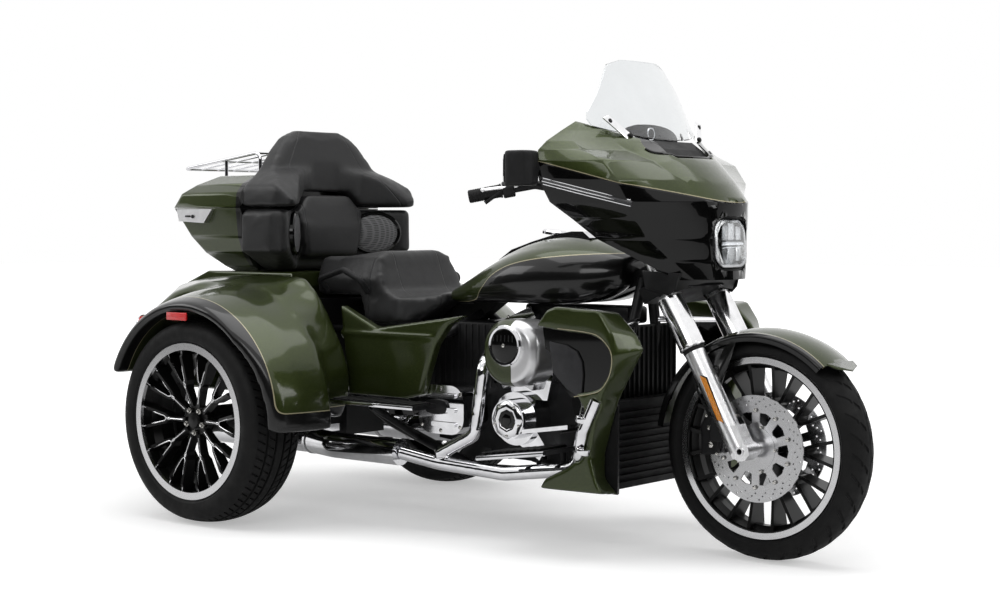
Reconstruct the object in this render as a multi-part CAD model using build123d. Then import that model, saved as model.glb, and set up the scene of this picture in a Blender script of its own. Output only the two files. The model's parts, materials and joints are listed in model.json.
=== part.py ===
from build123d import *
from math import cos, radians, sin, tan
import os

# A three-wheeled touring motorcycle: one steered wheel in front, two driven wheels behind, a V-twin
# engine, a fork-mounted fairing, a trunk between the rear wheels and a top box with a wrap-round backrest.
# X points forward, Y to the rider's left, Z up. The origin lies on the ground, at the middle of the
# machine's length and width. All sizes are in millimetres.

# Driving dimensions of the running gear
FRONT_SPAN = 740.0
REAR_SPAN = 960.0
REAR_OVERHANG = 629.0
FRONT_RIM_R = 255.0
FRONT_TYRE_HEIGHT = 64.0
FRONT_RIM_HALF = 51.0
FRONT_TYRE_BULGE = 15.0
REAR_RIM_R = 246.0
REAR_TYRE_HEIGHT = 79.0
REAR_RIM_HALF = 98.0
REAR_TYRE_BULGE = 9.0
REAR_TRACK = 1134.0
RAKE = 26.0
FORK_TILT = 3.5
FORK_SETBACK = 14.0
FORK_SPREAD = 125.0
HEAD_RISE = 521.0
SEAT_GAP = 0.3
RUN_GAP = 0.4
LIP_DEPTH = 12.0

FRONT_TYRE_R = FRONT_RIM_R + FRONT_TYRE_HEIGHT
REAR_TYRE_R = REAR_RIM_R + REAR_TYRE_HEIGHT
FRONT_TYRE_HALF = FRONT_RIM_HALF + FRONT_TYRE_BULGE
REAR_TYRE_HALF = REAR_RIM_HALF + REAR_TYRE_BULGE
REAR_WHEEL_Y = REAR_TRACK / 2
LENGTH = FRONT_TYRE_R + FRONT_SPAN + REAR_SPAN + REAR_OVERHANG
FRONT_AXLE_X = LENGTH / 2 - FRONT_TYRE_R
CRANK_X = FRONT_AXLE_X - FRONT_SPAN
CRANK_Z = 400.0
REAR_AXLE_X = CRANK_X - REAR_SPAN
FORK_ANGLE = RAKE + FORK_TILT
HEAD_Z = FRONT_TYRE_R + HEAD_RISE
HEAD_X = FRONT_AXLE_X - FORK_SETBACK - HEAD_RISE * tan(radians(FORK_ANGLE)) - 0.9

# Places that the pieces are drawn from
front_at = Pos(FRONT_AXLE_X, 0, FRONT_TYRE_R)
head_at = Pos(HEAD_X, 0, HEAD_Z)
crank_at = Pos(CRANK_X, 0, CRANK_Z)
rear_at = Pos(REAR_AXLE_X, 0, REAR_TYRE_R)

NODES = {}


def keep(name, *shapes):
    """Stores the solids of one named piece."""
    solids = []
    for shape in shapes:
        solids += list(shape.solids())
    NODES[name] = solids[0] if len(solids) == 1 else Compound(solids)


def largest(shape):
    """The largest solid of a shape, without the slivers that a cut can leave."""
    return max(shape.solids(), key=lambda solid: solid.volume)


def other_side(shape):
    """The same piece on the other side of the machine."""
    return mirror(shape, about=Plane.XZ)


def slab_xz(points, y_from, y_to):
    """A plate whose side-view outline is given, between two distances from the middle."""
    outline = Polyline([(x, y_from, z) for x, z in points], close=True)
    return extrude(make_face(outline), amount=y_to - y_from, dir=(0, 1, 0))


def slab_yz(points, x_from, x_to):
    """A plate whose front-view outline is given, between two places along the machine."""
    outline = Polyline([(x_from, y, z) for y, z in points], close=True)
    return extrude(make_face(outline), amount=x_to - x_from, dir=(1, 0, 0))


def slab_xy(points, z_from, z_to):
    """A plate whose plan outline is given, between two heights."""
    outline = Polyline([(x, y, z_from) for x, y in points], close=True)
    return extrude(make_face(outline), amount=z_to - z_from, dir=(0, 0, 1))


def box(x_from, x_to, y_from, y_to, z_from, z_to):
    """A block between the given limits."""
    size = (x_to - x_from, y_to - y_from, z_to - z_from)
    place = Pos((x_from + x_to) / 2, (y_from + y_to) / 2, (z_from + z_to) / 2)
    return place * Box(*size)


def rod(start, end, radius):
    """A round bar between two points."""
    start, end = Vector(*start), Vector(*end)
    along = end - start
    plane = Plane(origin=start, z_dir=along)
    return plane * Cylinder(radius, along.length, align=(Align.CENTER, Align.CENTER, Align.MIN))


def tube(points, radius, bend):
    """A bent round tube through the given corners, each rounded to the bend radius."""
    path = FilletPolyline(*points, radius=bend)
    section = Plane(origin=path @ 0, z_dir=path % 0) * Circle(radius)
    return sweep(section, path=path)


def layered(outlines):
    """A body lofted through side-view outlines, each at its own distance from the middle."""
    faces = [make_face(Polyline([(x, y, z) for x, z in row], close=True)) for y, row in outlines]
    return loft(faces, ruled=True)


def fork_x(z):
    """The fork legs' place along the machine at height z."""
    return FRONT_AXLE_X - FORK_SETBACK - (z - FRONT_TYRE_R) * tan(radians(FORK_ANGLE))


def steer_x(z):
    """The steering axis's place along the machine at height z."""
    return HEAD_X - (z - HEAD_Z) * tan(radians(RAKE))


def ring_about_y(profile):
    """A ring turned about the Y axis from (radius, y) points."""
    return revolve(make_face(Polyline([(r, y, 0) for r, y in profile], close=True)), Axis.Y)


def both_ways(half):
    """A profile with its mirror image on the other side of the wheel's middle."""
    return half + [(r, -y) for r, y in reversed(half)]


# Wheels. Each is modelled at the origin and then set on its axle.
BEAD_GAP = 0.5
LIP_GAP = 2.0
WELL_DEPTH = 16.0


def tyre(rim_r, height, rim_half, bulge, crown_drop, shoulder_in):
    """A tyre as a ring: crowned tread, bulged sidewalls above the rim's lips, and beads between the lips."""
    bead_r = rim_r - LIP_DEPTH + BEAD_GAP
    outer_r = rim_r + height
    half = rim_half + bulge
    right = [(bead_r, rim_half - 7.5), (rim_r + LIP_GAP, rim_half - 5.5)]
    left = [(r, -y) for r, y in right]
    shoulder_r, shoulder_half = outer_r - crown_drop, half - shoulder_in
    widest_r = rim_r + LIP_GAP + (shoulder_r - rim_r - LIP_GAP) * 0.45
    edges = [
        Line(left[0], right[0]),
        Line(right[0], right[1]),
        ThreePointArc(right[1], (widest_r, half), (shoulder_r, shoulder_half)),
        ThreePointArc((shoulder_r, shoulder_half), (outer_r, 0), (shoulder_r, -shoulder_half)),
        ThreePointArc((shoulder_r, -shoulder_half), (widest_r, -half), left[1]),
        Line(left[1], left[0]),
    ]
    return revolve(make_face(edges), Axis.Y)


def rim_barrel(rim_r, half, wall):
    """The rolled rim: two lips, two bead seats and a drop centre."""
    seat_r = rim_r - LIP_DEPTH
    well_r = seat_r - WELL_DEPTH
    outer = [(rim_r, half), (rim_r, half - 5), (seat_r, half - 7), (seat_r, half * 0.45), (well_r, half * 0.3)]
    inner = [(well_r - wall, half * 0.25), (seat_r - wall, half * 0.5), (seat_r - wall - 4, half)]
    section = outer + [(r, -y) for r, y in reversed(outer)]
    return ring_about_y(section + [(r, -y) for r, y in reversed(inner)] + inner)


def barrel_middle(rim_r, half, wall):
    """Points along the middle of the rim's wall, where the spokes end."""
    seat_r = rim_r - LIP_DEPTH
    well_r = seat_r - WELL_DEPTH
    return [(seat_r - wall / 2 - 1, half * 0.8), (seat_r - wall / 2 - 1, half * 0.48), (well_r - wall / 2, half * 0.27)]


def forked_spokes(count, root_r, fork_r, tip_r, thickness):
    """Spokes that split in two like a tuning fork, set round the hub in a circle."""
    stem, tip = 8.0, 4.6
    spread = 360.0 / count / 4
    far = (tip_r * cos(radians(spread)), tip_r * sin(radians(spread)))
    half = [
        (root_r, stem),
        (fork_r - 16, stem - 3),
        (fork_r - 4, stem - 1),
        (fork_r + 8, stem + 8),
        (far[0] - 3, far[1] + tip),
        (far[0] + 2, far[1] - tip),
        (fork_r + 14, stem + 0.5),
        (fork_r + 4, 0.0),
    ]
    outline = half + [(u, -v) for u, v in reversed(half[:-1])]
    blade = Pos(0, -thickness / 2, 0) * extrude(
        make_face(Polyline([(u, 0, v) for u, v in outline], close=True)), amount=thickness, dir=(0, 1, 0)
    )
    return [Rot(0, 360.0 / count * i, 0) * blade for i in range(count)]


SPOKES = 10
HUB_R = 40.0
HUB_HALF = 60.0
AXLE_R = 12.5
HUB_BORE_R = AXLE_R + RUN_GAP
FRONT_FORK_R = 132.0


def front_rim():
    """The front wheel: barrel, hub and ten forked spokes, hollowed at both sides for the brakes."""
    middle = barrel_middle(FRONT_RIM_R, FRONT_RIM_HALF, 5)
    envelope = ring_about_y(both_ways([(HUB_R - 8, 36), (150, 27), (195, 33)] + middle))
    blades = forked_spokes(SPOKES, HUB_R - 4, FRONT_FORK_R, FRONT_RIM_R - 8, 100)
    hub = ring_about_y([(HUB_BORE_R, HUB_HALF), (HUB_R, HUB_HALF), (HUB_R, -HUB_HALF), (HUB_BORE_R, -HUB_HALF)])
    return rim_barrel(FRONT_RIM_R, FRONT_RIM_HALF, 5) + hub + [blade & envelope for blade in blades]


REAR_HUB_R = 52.0
REAR_HUB_BORE_R = 43.0
HUB_PLATE_Y = 44.0
LUG_CIRCLE_R = 38.0
LUG_COUNT = 5
REAR_FORK_R = 120.0


def rear_rim():
    """The rear wheel: a wide barrel with ten forked spokes near its outer face, and a lug circle."""
    middle = barrel_middle(REAR_RIM_R, REAR_RIM_HALF, 6)
    envelope = ring_about_y([(46, 40), (46, 64), (120, 74), (205, 91)] + middle[:2] + [(120, 42)])
    blades = forked_spokes(SPOKES, REAR_HUB_R - 6, REAR_FORK_R, REAR_RIM_R - 9, 200)
    hub = ring_about_y([(REAR_HUB_BORE_R, 36), (REAR_HUB_BORE_R, 52), (REAR_HUB_R, 52), (REAR_HUB_R, 36)])
    plate = ring_about_y([(0.0, HUB_PLATE_Y), (0.0, 56), (REAR_HUB_R, 56), (REAR_HUB_R, HUB_PLATE_Y)])
    cap = ring_about_y([(0.0, 53), (20, 53), (25, 64), (22, 72), (0.0, 75)])
    rim = rim_barrel(REAR_RIM_R, REAR_RIM_HALF, 6) + hub + [blade & envelope for blade in blades] + plate + cap
    for i in range(LUG_COUNT):
        rim = rim + Rot(0, 360.0 / LUG_COUNT * i + 18, 0) * rod((LUG_CIRCLE_R, 50, 0), (LUG_CIRCLE_R, 68, 0), 7.5)
    return rim


DISC_R = 150.0
DISC_INNER_R = 58.0
DISC_THICK = 5.0
DISC_Y = 66.0
DISC_WINDOWS = 10
DISC_HOLES = 24


def brake_disc():
    """A floating brake disc: drilled ring and carrier with windows."""
    ring = ring_about_y([(DISC_INNER_R, 0), (DISC_INNER_R, DISC_THICK), (DISC_R, DISC_THICK), (DISC_R, 0)])
    window = slab_xz([(72, -11), (100, -19), (105, 0), (100, 19), (72, 11), (68, 0)], -1, DISC_THICK + 1)
    for i in range(DISC_WINDOWS):
        ring = ring - Rot(0, 360.0 / DISC_WINDOWS * i, 0) * window
    for row_r, shift in ((124, 0), (133, 5), (142, 10)):
        holes = [
            Rot(0, 360.0 / DISC_HOLES * i + shift, 0) * rod((row_r, -1, 0), (row_r, DISC_THICK + 1, 0), 2.6)
            for i in range(DISC_HOLES)
        ]
        ring = ring - holes
    return ring


front_tyre = tyre(FRONT_RIM_R, FRONT_TYRE_HEIGHT, FRONT_RIM_HALF, FRONT_TYRE_BULGE, 30, 4)
keep("front_tyre", front_at * front_tyre)
keep("front_rim", front_at * front_rim())
right_disc = front_at * (Pos(0, -DISC_Y, 0) * brake_disc())
disc_bell = front_at * ring_about_y([(HUB_BORE_R, -60.3), (62, -60.3), (62, -DISC_Y - 1), (HUB_BORE_R, -DISC_Y - 1)])
keep("front_discs", right_disc + disc_bell, other_side(right_disc + disc_bell))

rear_tyre = tyre(REAR_RIM_R, REAR_TYRE_HEIGHT, REAR_RIM_HALF, REAR_TYRE_BULGE, 13, 25)
for side, name in ((-1, "right"), (1, "left")):
    place = Pos(REAR_AXLE_X, side * REAR_WHEEL_Y, REAR_TYRE_R)
    turned = Rot(0, 0, 0 if side > 0 else 180)
    keep("rear_tyre_" + name, place * rear_tyre)
    keep("rear_rim_" + name, place * (turned * rear_rim()))

# Front fork: sliders, bright covers and inner tubes, with the axle and its clamps
SLIDER_R = 30.0
COVER_R = 36.0
TUBE_R = 24.5
COVER_LOW_Z = HEAD_Z - 245
COVER_TOP_Z = HEAD_Z - 105
TUBE_TOP_Z = HEAD_Z + 72
AXLE_HALF = 152.0
AXLE_BORE_R = 8.0
AXLE_CLAMP_IN = 92.0


def leg_span(z_from, z_to, radius):
    """A round stretch of the right fork leg between two heights."""
    return rod((fork_x(z_from), -FORK_SPREAD, z_from), (fork_x(z_to), -FORK_SPREAD, z_to), radius)


leg = leg_span(FRONT_TYRE_R - 1, COVER_LOW_Z, SLIDER_R)
leg = leg + leg_span(COVER_LOW_Z, COVER_TOP_Z, COVER_R)
leg = leg + leg_span(COVER_TOP_Z - 1, TUBE_TOP_Z, TUBE_R)
boss = front_at * rod((0, -AXLE_HALF + 4, 0), (0, -AXLE_CLAMP_IN, 0), 27)
foot_z = FRONT_TYRE_R + 51
foot = slab_xz(
    [
        (fork_x(foot_z) - 26, foot_z + 10),
        (fork_x(foot_z) + 30, foot_z + 22),
        (FRONT_AXLE_X + 30, FRONT_TYRE_R - 6),
        (FRONT_AXLE_X + 16, FRONT_TYRE_R - 24),
        (FRONT_AXLE_X - 22, FRONT_TYRE_R - 22),
    ],
    -FORK_SPREAD - 24,
    -FORK_SPREAD + 24,
)
leg = leg + boss + foot
leg = leg - front_at * rod((0, -200, 0), (0, -60, 0), AXLE_R + SEAT_GAP)
keep("fork_legs", leg, other_side(leg))
axle = rod((0, -AXLE_HALF, 0), (0, AXLE_HALF, 0), AXLE_R) - rod((0, -200, 0), (0, 200, 0), AXLE_BORE_R)
spacer_from, spacer_to = DISC_Y + 1.6, AXLE_CLAMP_IN - SEAT_GAP
spacer = ring_about_y([(AXLE_R - 1, spacer_from), (19, spacer_from), (19, spacer_to), (AXLE_R - 1, spacer_to)])
keep("front_axle", front_at * (axle + spacer + other_side(spacer)))

# Yokes, square to the steering axis, with the stem between them
LOWER_YOKE_Z = HEAD_Z - 100
UPPER_YOKE_Z = HEAD_Z + 55
LOWER_YOKE_THICK = 44.0
UPPER_YOKE_THICK = 24.0
STEM_R = 15.0
YOKE_HALF_Y = FORK_SPREAD + 40.0


def on_axis(z):
    """The plane square to the steering axis where the axis is at height z."""
    return Plane(
        origin=(steer_x(z), 0, z), x_dir=(cos(radians(RAKE)), 0, sin(radians(RAKE))),
        z_dir=(-sin(radians(RAKE)), 0, cos(radians(RAKE))),
    )


def yoke(z, thick, depth):
    """A fork yoke: a broad plate that holds both tubes."""
    outline = Polygon(
        (-depth, -60), (-depth, 60), (-depth + 8, YOKE_HALF_Y), (depth - 30, YOKE_HALF_Y),
        (depth, 90), (depth, -90), (depth - 30, -YOKE_HALF_Y), (-depth + 8, -YOKE_HALF_Y), align=None,
    )
    plane = on_axis(z)
    return extrude(plane * outline, amount=thick, dir=plane.z_dir)


stem_plane = on_axis(LOWER_YOKE_Z + 25)
legs_space = [leg_span(COVER_TOP_Z - 2, TUBE_TOP_Z + 40, TUBE_R + SEAT_GAP)]
legs_space.append(other_side(legs_space[0]))
leg_covers = [leg_span(COVER_LOW_Z, COVER_TOP_Z + 0.5, COVER_R + SEAT_GAP)]
leg_covers.append(other_side(leg_covers[0]))
stem_length = (UPPER_YOKE_Z - LOWER_YOKE_Z - 25) / cos(radians(RAKE)) + 5
stem = extrude(stem_plane * Circle(STEM_R), amount=stem_length, dir=stem_plane.z_dir)
yokes = yoke(LOWER_YOKE_Z, LOWER_YOKE_THICK, 62) + yoke(UPPER_YOKE_Z, UPPER_YOKE_THICK, 52) + stem
yokes = yokes - legs_space - leg_covers
keep("fork_yokes", yokes)

# Front fender: a deep channel round the tyre with a beak in front
FENDER_GAP = 16.0
FENDER_R = FRONT_TYRE_R + FENDER_GAP
FENDER_HALF = FRONT_TYRE_HALF + 22.0
FENDER_SKIRT = 35.0
FENDER_WALL = 4.0
FENDER_FROM = 48.0
FENDER_TO = 172.0


def channel_profile(crown_r, shoulder_r, skirt_r, half, wall):
    """The section of a fender: crowned top, rounded shoulders and straight skirts."""
    shoulder = (shoulder_r, half * 0.86)
    inner_shoulder = (shoulder_r - wall, half * 0.86 - wall)
    return [
        Line((skirt_r, -half), (shoulder_r - 14, -half)),
        ThreePointArc((shoulder_r - 14, -half), (shoulder_r - 3, -half * 0.96), (shoulder[0], -shoulder[1])),
        ThreePointArc((shoulder[0], -shoulder[1]), (crown_r, 0), shoulder),
        ThreePointArc(shoulder, (shoulder_r - 3, half * 0.96), (shoulder_r - 14, half)),
        Line((shoulder_r - 14, half), (skirt_r, half)),
        Line((skirt_r, half), (skirt_r, half - wall)),
        Line((skirt_r, half - wall), (shoulder_r - 16, half - wall)),
        Line((shoulder_r - 16, half - wall), inner_shoulder),
        ThreePointArc(inner_shoulder, (crown_r - wall, 0), (inner_shoulder[0], -inner_shoulder[1])),
        Line((inner_shoulder[0], -inner_shoulder[1]), (shoulder_r - 16, -half + wall)),
        Line((shoulder_r - 16, -half + wall), (skirt_r, -half + wall)),
        Line((skirt_r, -half + wall), (skirt_r, -half)),
    ]


def swept(profile, start, stop):
    """A (radius, y) profile swept round the Y axis, from one angle above the front to another."""
    around = Axis((0, 0, 0), (0, -1, 0))
    return revolve(Rot(0, -start, 0) * make_face(profile), around, revolution_arc=stop - start)


fender_profile = channel_profile(FENDER_R, FENDER_R - 12, FENDER_R - FENDER_SKIRT, FENDER_HALF, FENDER_WALL)
fender = front_at * swept(fender_profile, FENDER_FROM, FENDER_TO)
beak = slab_xy([(-2, -72), (24, -56), (44, 0), (24, 56), (-2, 72)], 0, FENDER_WALL)
beak_root = Pos(FENDER_R * cos(radians(FENDER_FROM)), 0, FENDER_R * sin(radians(FENDER_FROM)) - 4)
beak = front_at * (beak_root * (Rot(0, 27, 0) * beak))
plate_low = FENDER_R - FENDER_SKIRT - 2
side_plate = front_at * slab_xz(
    [
        (-155, 161), (-100, 176), (plate_low * cos(radians(100)), plate_low * sin(radians(100)) + 6),
        (plate_low * cos(radians(128)), plate_low * sin(radians(128)) + 6),
    ],
    -FENDER_HALF, -FENDER_HALF + FENDER_WALL,
)
lug_z = FRONT_TYRE_R + 201
fender_lug = box(fork_x(lug_z) - 34, fork_x(lug_z) + 22, -FORK_SPREAD + 4, -FENDER_HALF + 2, lug_z - 30, lug_z + 28)
fender_lug = fender_lug - leg_span(lug_z - 120, lug_z + 80, SLIDER_R + SEAT_GAP)
fender = fender + beak + side_plate + other_side(side_plate)
keep("front_fender", fender + fender_lug + other_side(fender_lug))

# Brake calipers on the fork legs' rear side, straddling the discs
caliper = slab_xz([(-166, -29), (-116, -23), (-98, 41), (-102, 95), (-146, 99), (-168, 53)], -DISC_Y - 22, -DISC_Y + 22)
disc_room = [(50, -DISC_Y - 3), (DISC_R + 6, -DISC_Y - 3), (DISC_R + 6, -DISC_Y + 8), (50, -DISC_Y + 8)]
caliper = front_at * (caliper - ring_about_y(disc_room))
arm_low, arm_high = FRONT_TYRE_R + 19, FRONT_TYRE_R + 73
caliper_arm = slab_xz(
    [
        (FRONT_AXLE_X - 112, arm_low), (fork_x(arm_low) - SLIDER_R + 10, arm_low),
        (fork_x(arm_high) - SLIDER_R + 10, arm_high), (FRONT_AXLE_X - 108, arm_high + 18),
    ],
    -FORK_SPREAD - 8, -DISC_Y - 10,
)
caliper_arm = caliper_arm - leg_span(FRONT_TYRE_R - 1, COVER_LOW_Z, SLIDER_R + SEAT_GAP) - foot
caliper = largest(caliper + caliper_arm)
keep("brake_calipers", caliper, other_side(caliper))

# Fairing: a thin shell lofted through plan sections, split into a painted upper part and a black mask
FAIRING_WALL = 5.0
FAIRING_SECTIONS = [
    # height, nose, corner x and y, cheek x and y, tip x and y, from the steering head's middle
    (-54, 197, 181, 84, 143, 124, 105, 152),
    (0, 193, 179, 92, 95, 168, 11, 202),
    (60, 193, 175, 100, 57, 222, -101, 250),
    (120, 199, 175, 106, 43, 272, -142, 320),
    (165, 207, 171, 114, 39, 306, -169, 384),
    (225, 155, 111, 142, 27, 332, -179, 420),
    (280, 93, 35, 180, -19, 345, -183, 430),
    (310, 55, -27, 215, -85, 345, -179, 424),
    (336, 21, -59, 232, -119, 340, -171, 396),
    (368, -5, -87, 226, -139, 300, -163, 336),
    (396, -29, -109, 218, -143, 262, -155, 280),
]


def crescent(row, wall):
    """A plan section of the fairing: the outer line, and the same line set in by the wall."""
    z, nose, corner_x, corner_y, cheek_x, cheek_y, tip_x, tip_y = row
    half = [(corner_x, corner_y), (cheek_x, cheek_y), (tip_x, tip_y)]
    inner = [(corner_x - wall, corner_y - 2), (cheek_x - wall * 0.8, cheek_y - wall * 0.7), (tip_x, tip_y - wall)]
    points = [(x, -y) for x, y in reversed(half)] + half
    back = [(x, y) for x, y in reversed(inner)] + [(x, -y) for x, y in inner]
    edges = [Line(points[i] + (z,), points[i + 1] + (z,)) for i in (0, 1)]
    edges.append(ThreePointArc(points[2] + (z,), (nose, 0, z), points[3] + (z,)))
    edges += [Line(points[i] + (z,), points[i + 1] + (z,)) for i in (3, 4)]
    edges.append(Line(points[5] + (z,), back[0] + (z,)))
    edges += [Line(back[i] + (z,), back[i + 1] + (z,)) for i in (0, 1)]
    edges.append(ThreePointArc(back[2] + (z,), (nose - wall, 0, z), back[3] + (z,)))
    edges += [Line(back[i] + (z,), back[i + 1] + (z,)) for i in (3, 4)]
    edges.append(Line(back[5] + (z,), points[0] + (z,)))
    return make_face(edges)


shell = loft([crescent(row, FAIRING_WALL) for row in FAIRING_SECTIONS], ruled=True)
LAMP_Z = 48
LAMP_BACK_X = 85
LAMP_DEPTH = 46.0
LAMP_HALF_Y = 82.0
LAMP_HALF_Z = 71.0
LAMP_RIM = 6.0
LAMP_CORNER = 50.0
lamp_plane = Plane(origin=(LAMP_BACK_X, 0, LAMP_Z), x_dir=(0, 1, 0), z_dir=(1, 0, 0))
lamp_hole = RectangleRounded(2 * (LAMP_HALF_Y + LAMP_RIM), 2 * (LAMP_HALF_Z + LAMP_RIM), LAMP_CORNER)
shell = shell - extrude(lamp_plane * lamp_hole, amount=200)
RIM_LEAN = 0.3667
above_rim = slab_xz([(105, 328 - 80 * RIM_LEAN), (-195, 328 + 220 * RIM_LEAN), (-195, 640), (105, 640)], -450, 450)
VENT_HALF = 112.0
vent = slab_yz(
    [
        (-VENT_HALF, 450), (-VENT_HALF, 308), (-VENT_HALF + 18, 291), (VENT_HALF - 18, 291), (VENT_HALF, 308),
        (VENT_HALF, 450),
    ],
    -60, 130,
)
shell = shell - above_rim - vent
PAINT_FRONT_Z = 160
PAINT_RISE = 0.297
paint_low = slab_xz(
    [(305, PAINT_FRONT_Z - 100 * PAINT_RISE), (-295, PAINT_FRONT_Z + 500 * PAINT_RISE), (-295, -340), (305, -340)],
    -500, 500,
)
keep("fairing_mask", head_at * (shell & paint_low))
keep("fairing_paint", head_at * (shell - paint_low))

# Headlamp in the mask's opening, with its black bezel
lamp_seat = RectangleRounded(
    2 * (LAMP_HALF_Y + LAMP_RIM - SEAT_GAP), 2 * (LAMP_HALF_Z + LAMP_RIM - SEAT_GAP), LAMP_CORNER - SEAT_GAP
)
lamp_body = extrude(lamp_plane * lamp_seat, amount=LAMP_DEPTH)
lamp_glass = RectangleRounded(2 * LAMP_HALF_Y - 16, 2 * LAMP_HALF_Z - 16, LAMP_CORNER - 14)
lamp_body = lamp_body + extrude(lamp_plane.offset(LAMP_DEPTH - 1) * lamp_glass, amount=12)
lamp_mouth = RectangleRounded(2 * LAMP_HALF_Y, 2 * LAMP_HALF_Z, LAMP_CORNER - LAMP_RIM)
bezel = extrude(lamp_plane.offset(LAMP_DEPTH - 1) * (lamp_seat - lamp_mouth), amount=80)
nose_plan = [
    Line((45, -100), (45, 100)), Line((45, 100), (174, 100)),
    ThreePointArc((174, 100), (191, 0), (174, -100)), Line((174, -100), (45, -100)),
]
bezel = bezel & extrude(Pos(0, 0, LAMP_Z - 120) * make_face(nose_plan), amount=240)
lamp_body = lamp_body + bezel
keep("headlamp", head_at * lamp_body)

# The scoop under the screen, joined to the dark panel behind the fairing
scoop = slab_xz(
    [(47, 282), (13, 318), (-23, 343), (-95, 343), (-95, 280), (-5, 260)],
    -VENT_HALF + 0.3, VENT_HALF - 0.3,
)
INNER_SECTIONS = [
    # height, front x, rear x, half-width in front, half-width behind
    (115, 5, -125, 200, 260),
    (220, -5, -150, 260, 330),
    (320, -73, -135, 250, 320),
]
inner_faces = []
for z, front_x, rear_x, front_half, rear_half in INNER_SECTIONS:
    corners = [(rear_x, -rear_half, z), (front_x, -front_half, z), (front_x, front_half, z), (rear_x, rear_half, z)]
    inner_faces.append(make_face(Polyline(corners, close=True)))
inner = loft(inner_faces, ruled=True) + scoop
inner = inner + box(-5, 225, -20, 20, 145, 170) - shell
BAR_PATH = [
    (-55, 0, 96), (-55, -90, 96), (-135, -250, 190), (-265, -330, 216), (-412, -442, 182)
]
BAR_R = 12.7
bar_space = tube(BAR_PATH, BAR_R + SEAT_GAP, 40)
inner = head_at * (largest(inner - bar_space - other_side(bar_space)))
inner = largest(inner - yokes)
keep("inner_fairing", inner)

# Windscreen: a thin curved sheet leaning back
SCREEN_THICK = 5.0
SCREEN_SECTIONS = [
    # height, middle x, side x, half-width
    (320, -11, -73, 240),
    (400, -43, -129, 262),
    (500, -89, -153, 230),
    (560, -117, -151, 158),
    (580, -127, -137, 92),
]


def screen_section(z, middle_x, side_x, half):
    """One level arc of the screen, with its thickness."""
    side, back = (side_x, half, z), SCREEN_THICK
    edges = [
        ThreePointArc((side_x, -half, z), (middle_x, 0, z), side),
        Line(side, (side_x - back, half, z)),
        ThreePointArc((side_x - back, half, z), (middle_x - back, 0, z), (side_x - back, -half, z)),
        Line((side_x - back, -half, z), (side_x, -half, z)),
    ]
    return make_face(edges)


screen = loft([screen_section(*row) for row in SCREEN_SECTIONS], ruled=True) & (Pos(0, 0, SEAT_GAP) * above_rim)
keep("windscreen", head_at * largest(screen - scoop))

# Mirrors and the bright strips on the fairing's sides
mirror_plan = [(-243, -498), (-227, -506), (-175, -500), (-161, -470), (-175, -424), (-235, -416)]
mirror_case = slab_xy(mirror_plan, 210, 308)
mirror_stalk = rod((-205, -440, 260), (-135, -380, 260), 9)
mirror_piece = largest(head_at * (mirror_case + mirror_stalk - shell) - inner)
keep("mirrors", mirror_piece, other_side(mirror_piece))
strip = rod((-171, -416, 224), (50, -298, 160), 7) - shell
outside = slab_xy([(-195, -412), (50, -292), (105, -280), (105, -500), (-195, -500)], 60, 360)
strip = head_at * largest(strip & outside)
keep("light_bars", strip, other_side(strip))

# Handlebar with grips and levers
bar = tube(BAR_PATH, BAR_R, 40)
grip = rod((-340, -387, 199), (-412, -442, 182), 18)
lever = rod((-323, -392, 206), (-371, -425, 164), 6)
lever = lever + rod((-295, -352, 210), (-323, -392, 206), 7)
riser = rod((-43, -50, 65), (-55, -50, 96), 15)
half_bar = head_at * (bar + grip + lever + riser) - yokes - legs_space
keep("handlebar", largest(half_bar + other_side(half_bar)))

# Frame: steering neck, backbone, down tubes, lower rails and the axle carrier
NECK_R = 32.0
NECK_LENGTH = 104.0
NECK_BORE_R = STEM_R + RUN_GAP
RAIL_R = 16.0
CARRIER_HALF = 90.0
neck_plane = on_axis(HEAD_Z - 52)
neck = extrude(neck_plane * Circle(NECK_R), amount=NECK_LENGTH, dir=neck_plane.z_dir)
backbone = head_at * slab_xz([(-5, 28), (17, -40), (-135, -80), (-135, -40)], -24, 24)
backbone = backbone + slab_xz(
    [
        (HEAD_X - 125, HEAD_Z - 36), (HEAD_X - 125, HEAD_Z - 78), (CRANK_X + 165, CRANK_Z + 312),
        (CRANK_X - 205, CRANK_Z + 308), (CRANK_X - 305, CRANK_Z + 240), (REAR_AXLE_X + 135, REAR_TYRE_R + 315),
        (REAR_AXLE_X + 135, REAR_TYRE_R + 365), (CRANK_X - 325, CRANK_Z + 290), (CRANK_X - 275, CRANK_Z + 355),
        (CRANK_X + 165, CRANK_Z + 390),
    ],
    -24, 24,
)
CROSS_X = REAR_AXLE_X + 135
CROSS_Z = REAR_TYRE_R + 95
down = tube(
    [
        (HEAD_X - 105, -20, HEAD_Z - 56), (HEAD_X - 115, -60, HEAD_Z - 200), (CRANK_X + 265, -95, CRANK_Z - 200),
        (CRANK_X - 205, -150, CRANK_Z - 210), (REAR_AXLE_X + 365, -110, CROSS_Z - 120), (CROSS_X, -110, CROSS_Z),
    ],
    RAIL_R, 60,
)
rails = down + other_side(down)
seat_rail = tube(
    [
        (CRANK_X - 295, -10, CRANK_Z + 265), (CRANK_X - 325, -150, CRANK_Z + 200),
        (REAR_AXLE_X + 295, -185, REAR_TYRE_R + 275), (CROSS_X, -185, REAR_TYRE_R + 275),
    ],
    14, 40,
)
rails = rails + seat_rail + other_side(seat_rail)
crossing = box(CROSS_X - 40, CROSS_X + 10, -230, 230, REAR_TYRE_R + 75, REAR_TYRE_R + 375)
axle_carrier = box(REAR_AXLE_X - 90, CROSS_X, -CARRIER_HALF, CARRIER_HALF, REAR_TYRE_R - 85, REAR_TYRE_R + 95)
TRUNK_LOW_Z = 105.0
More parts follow.
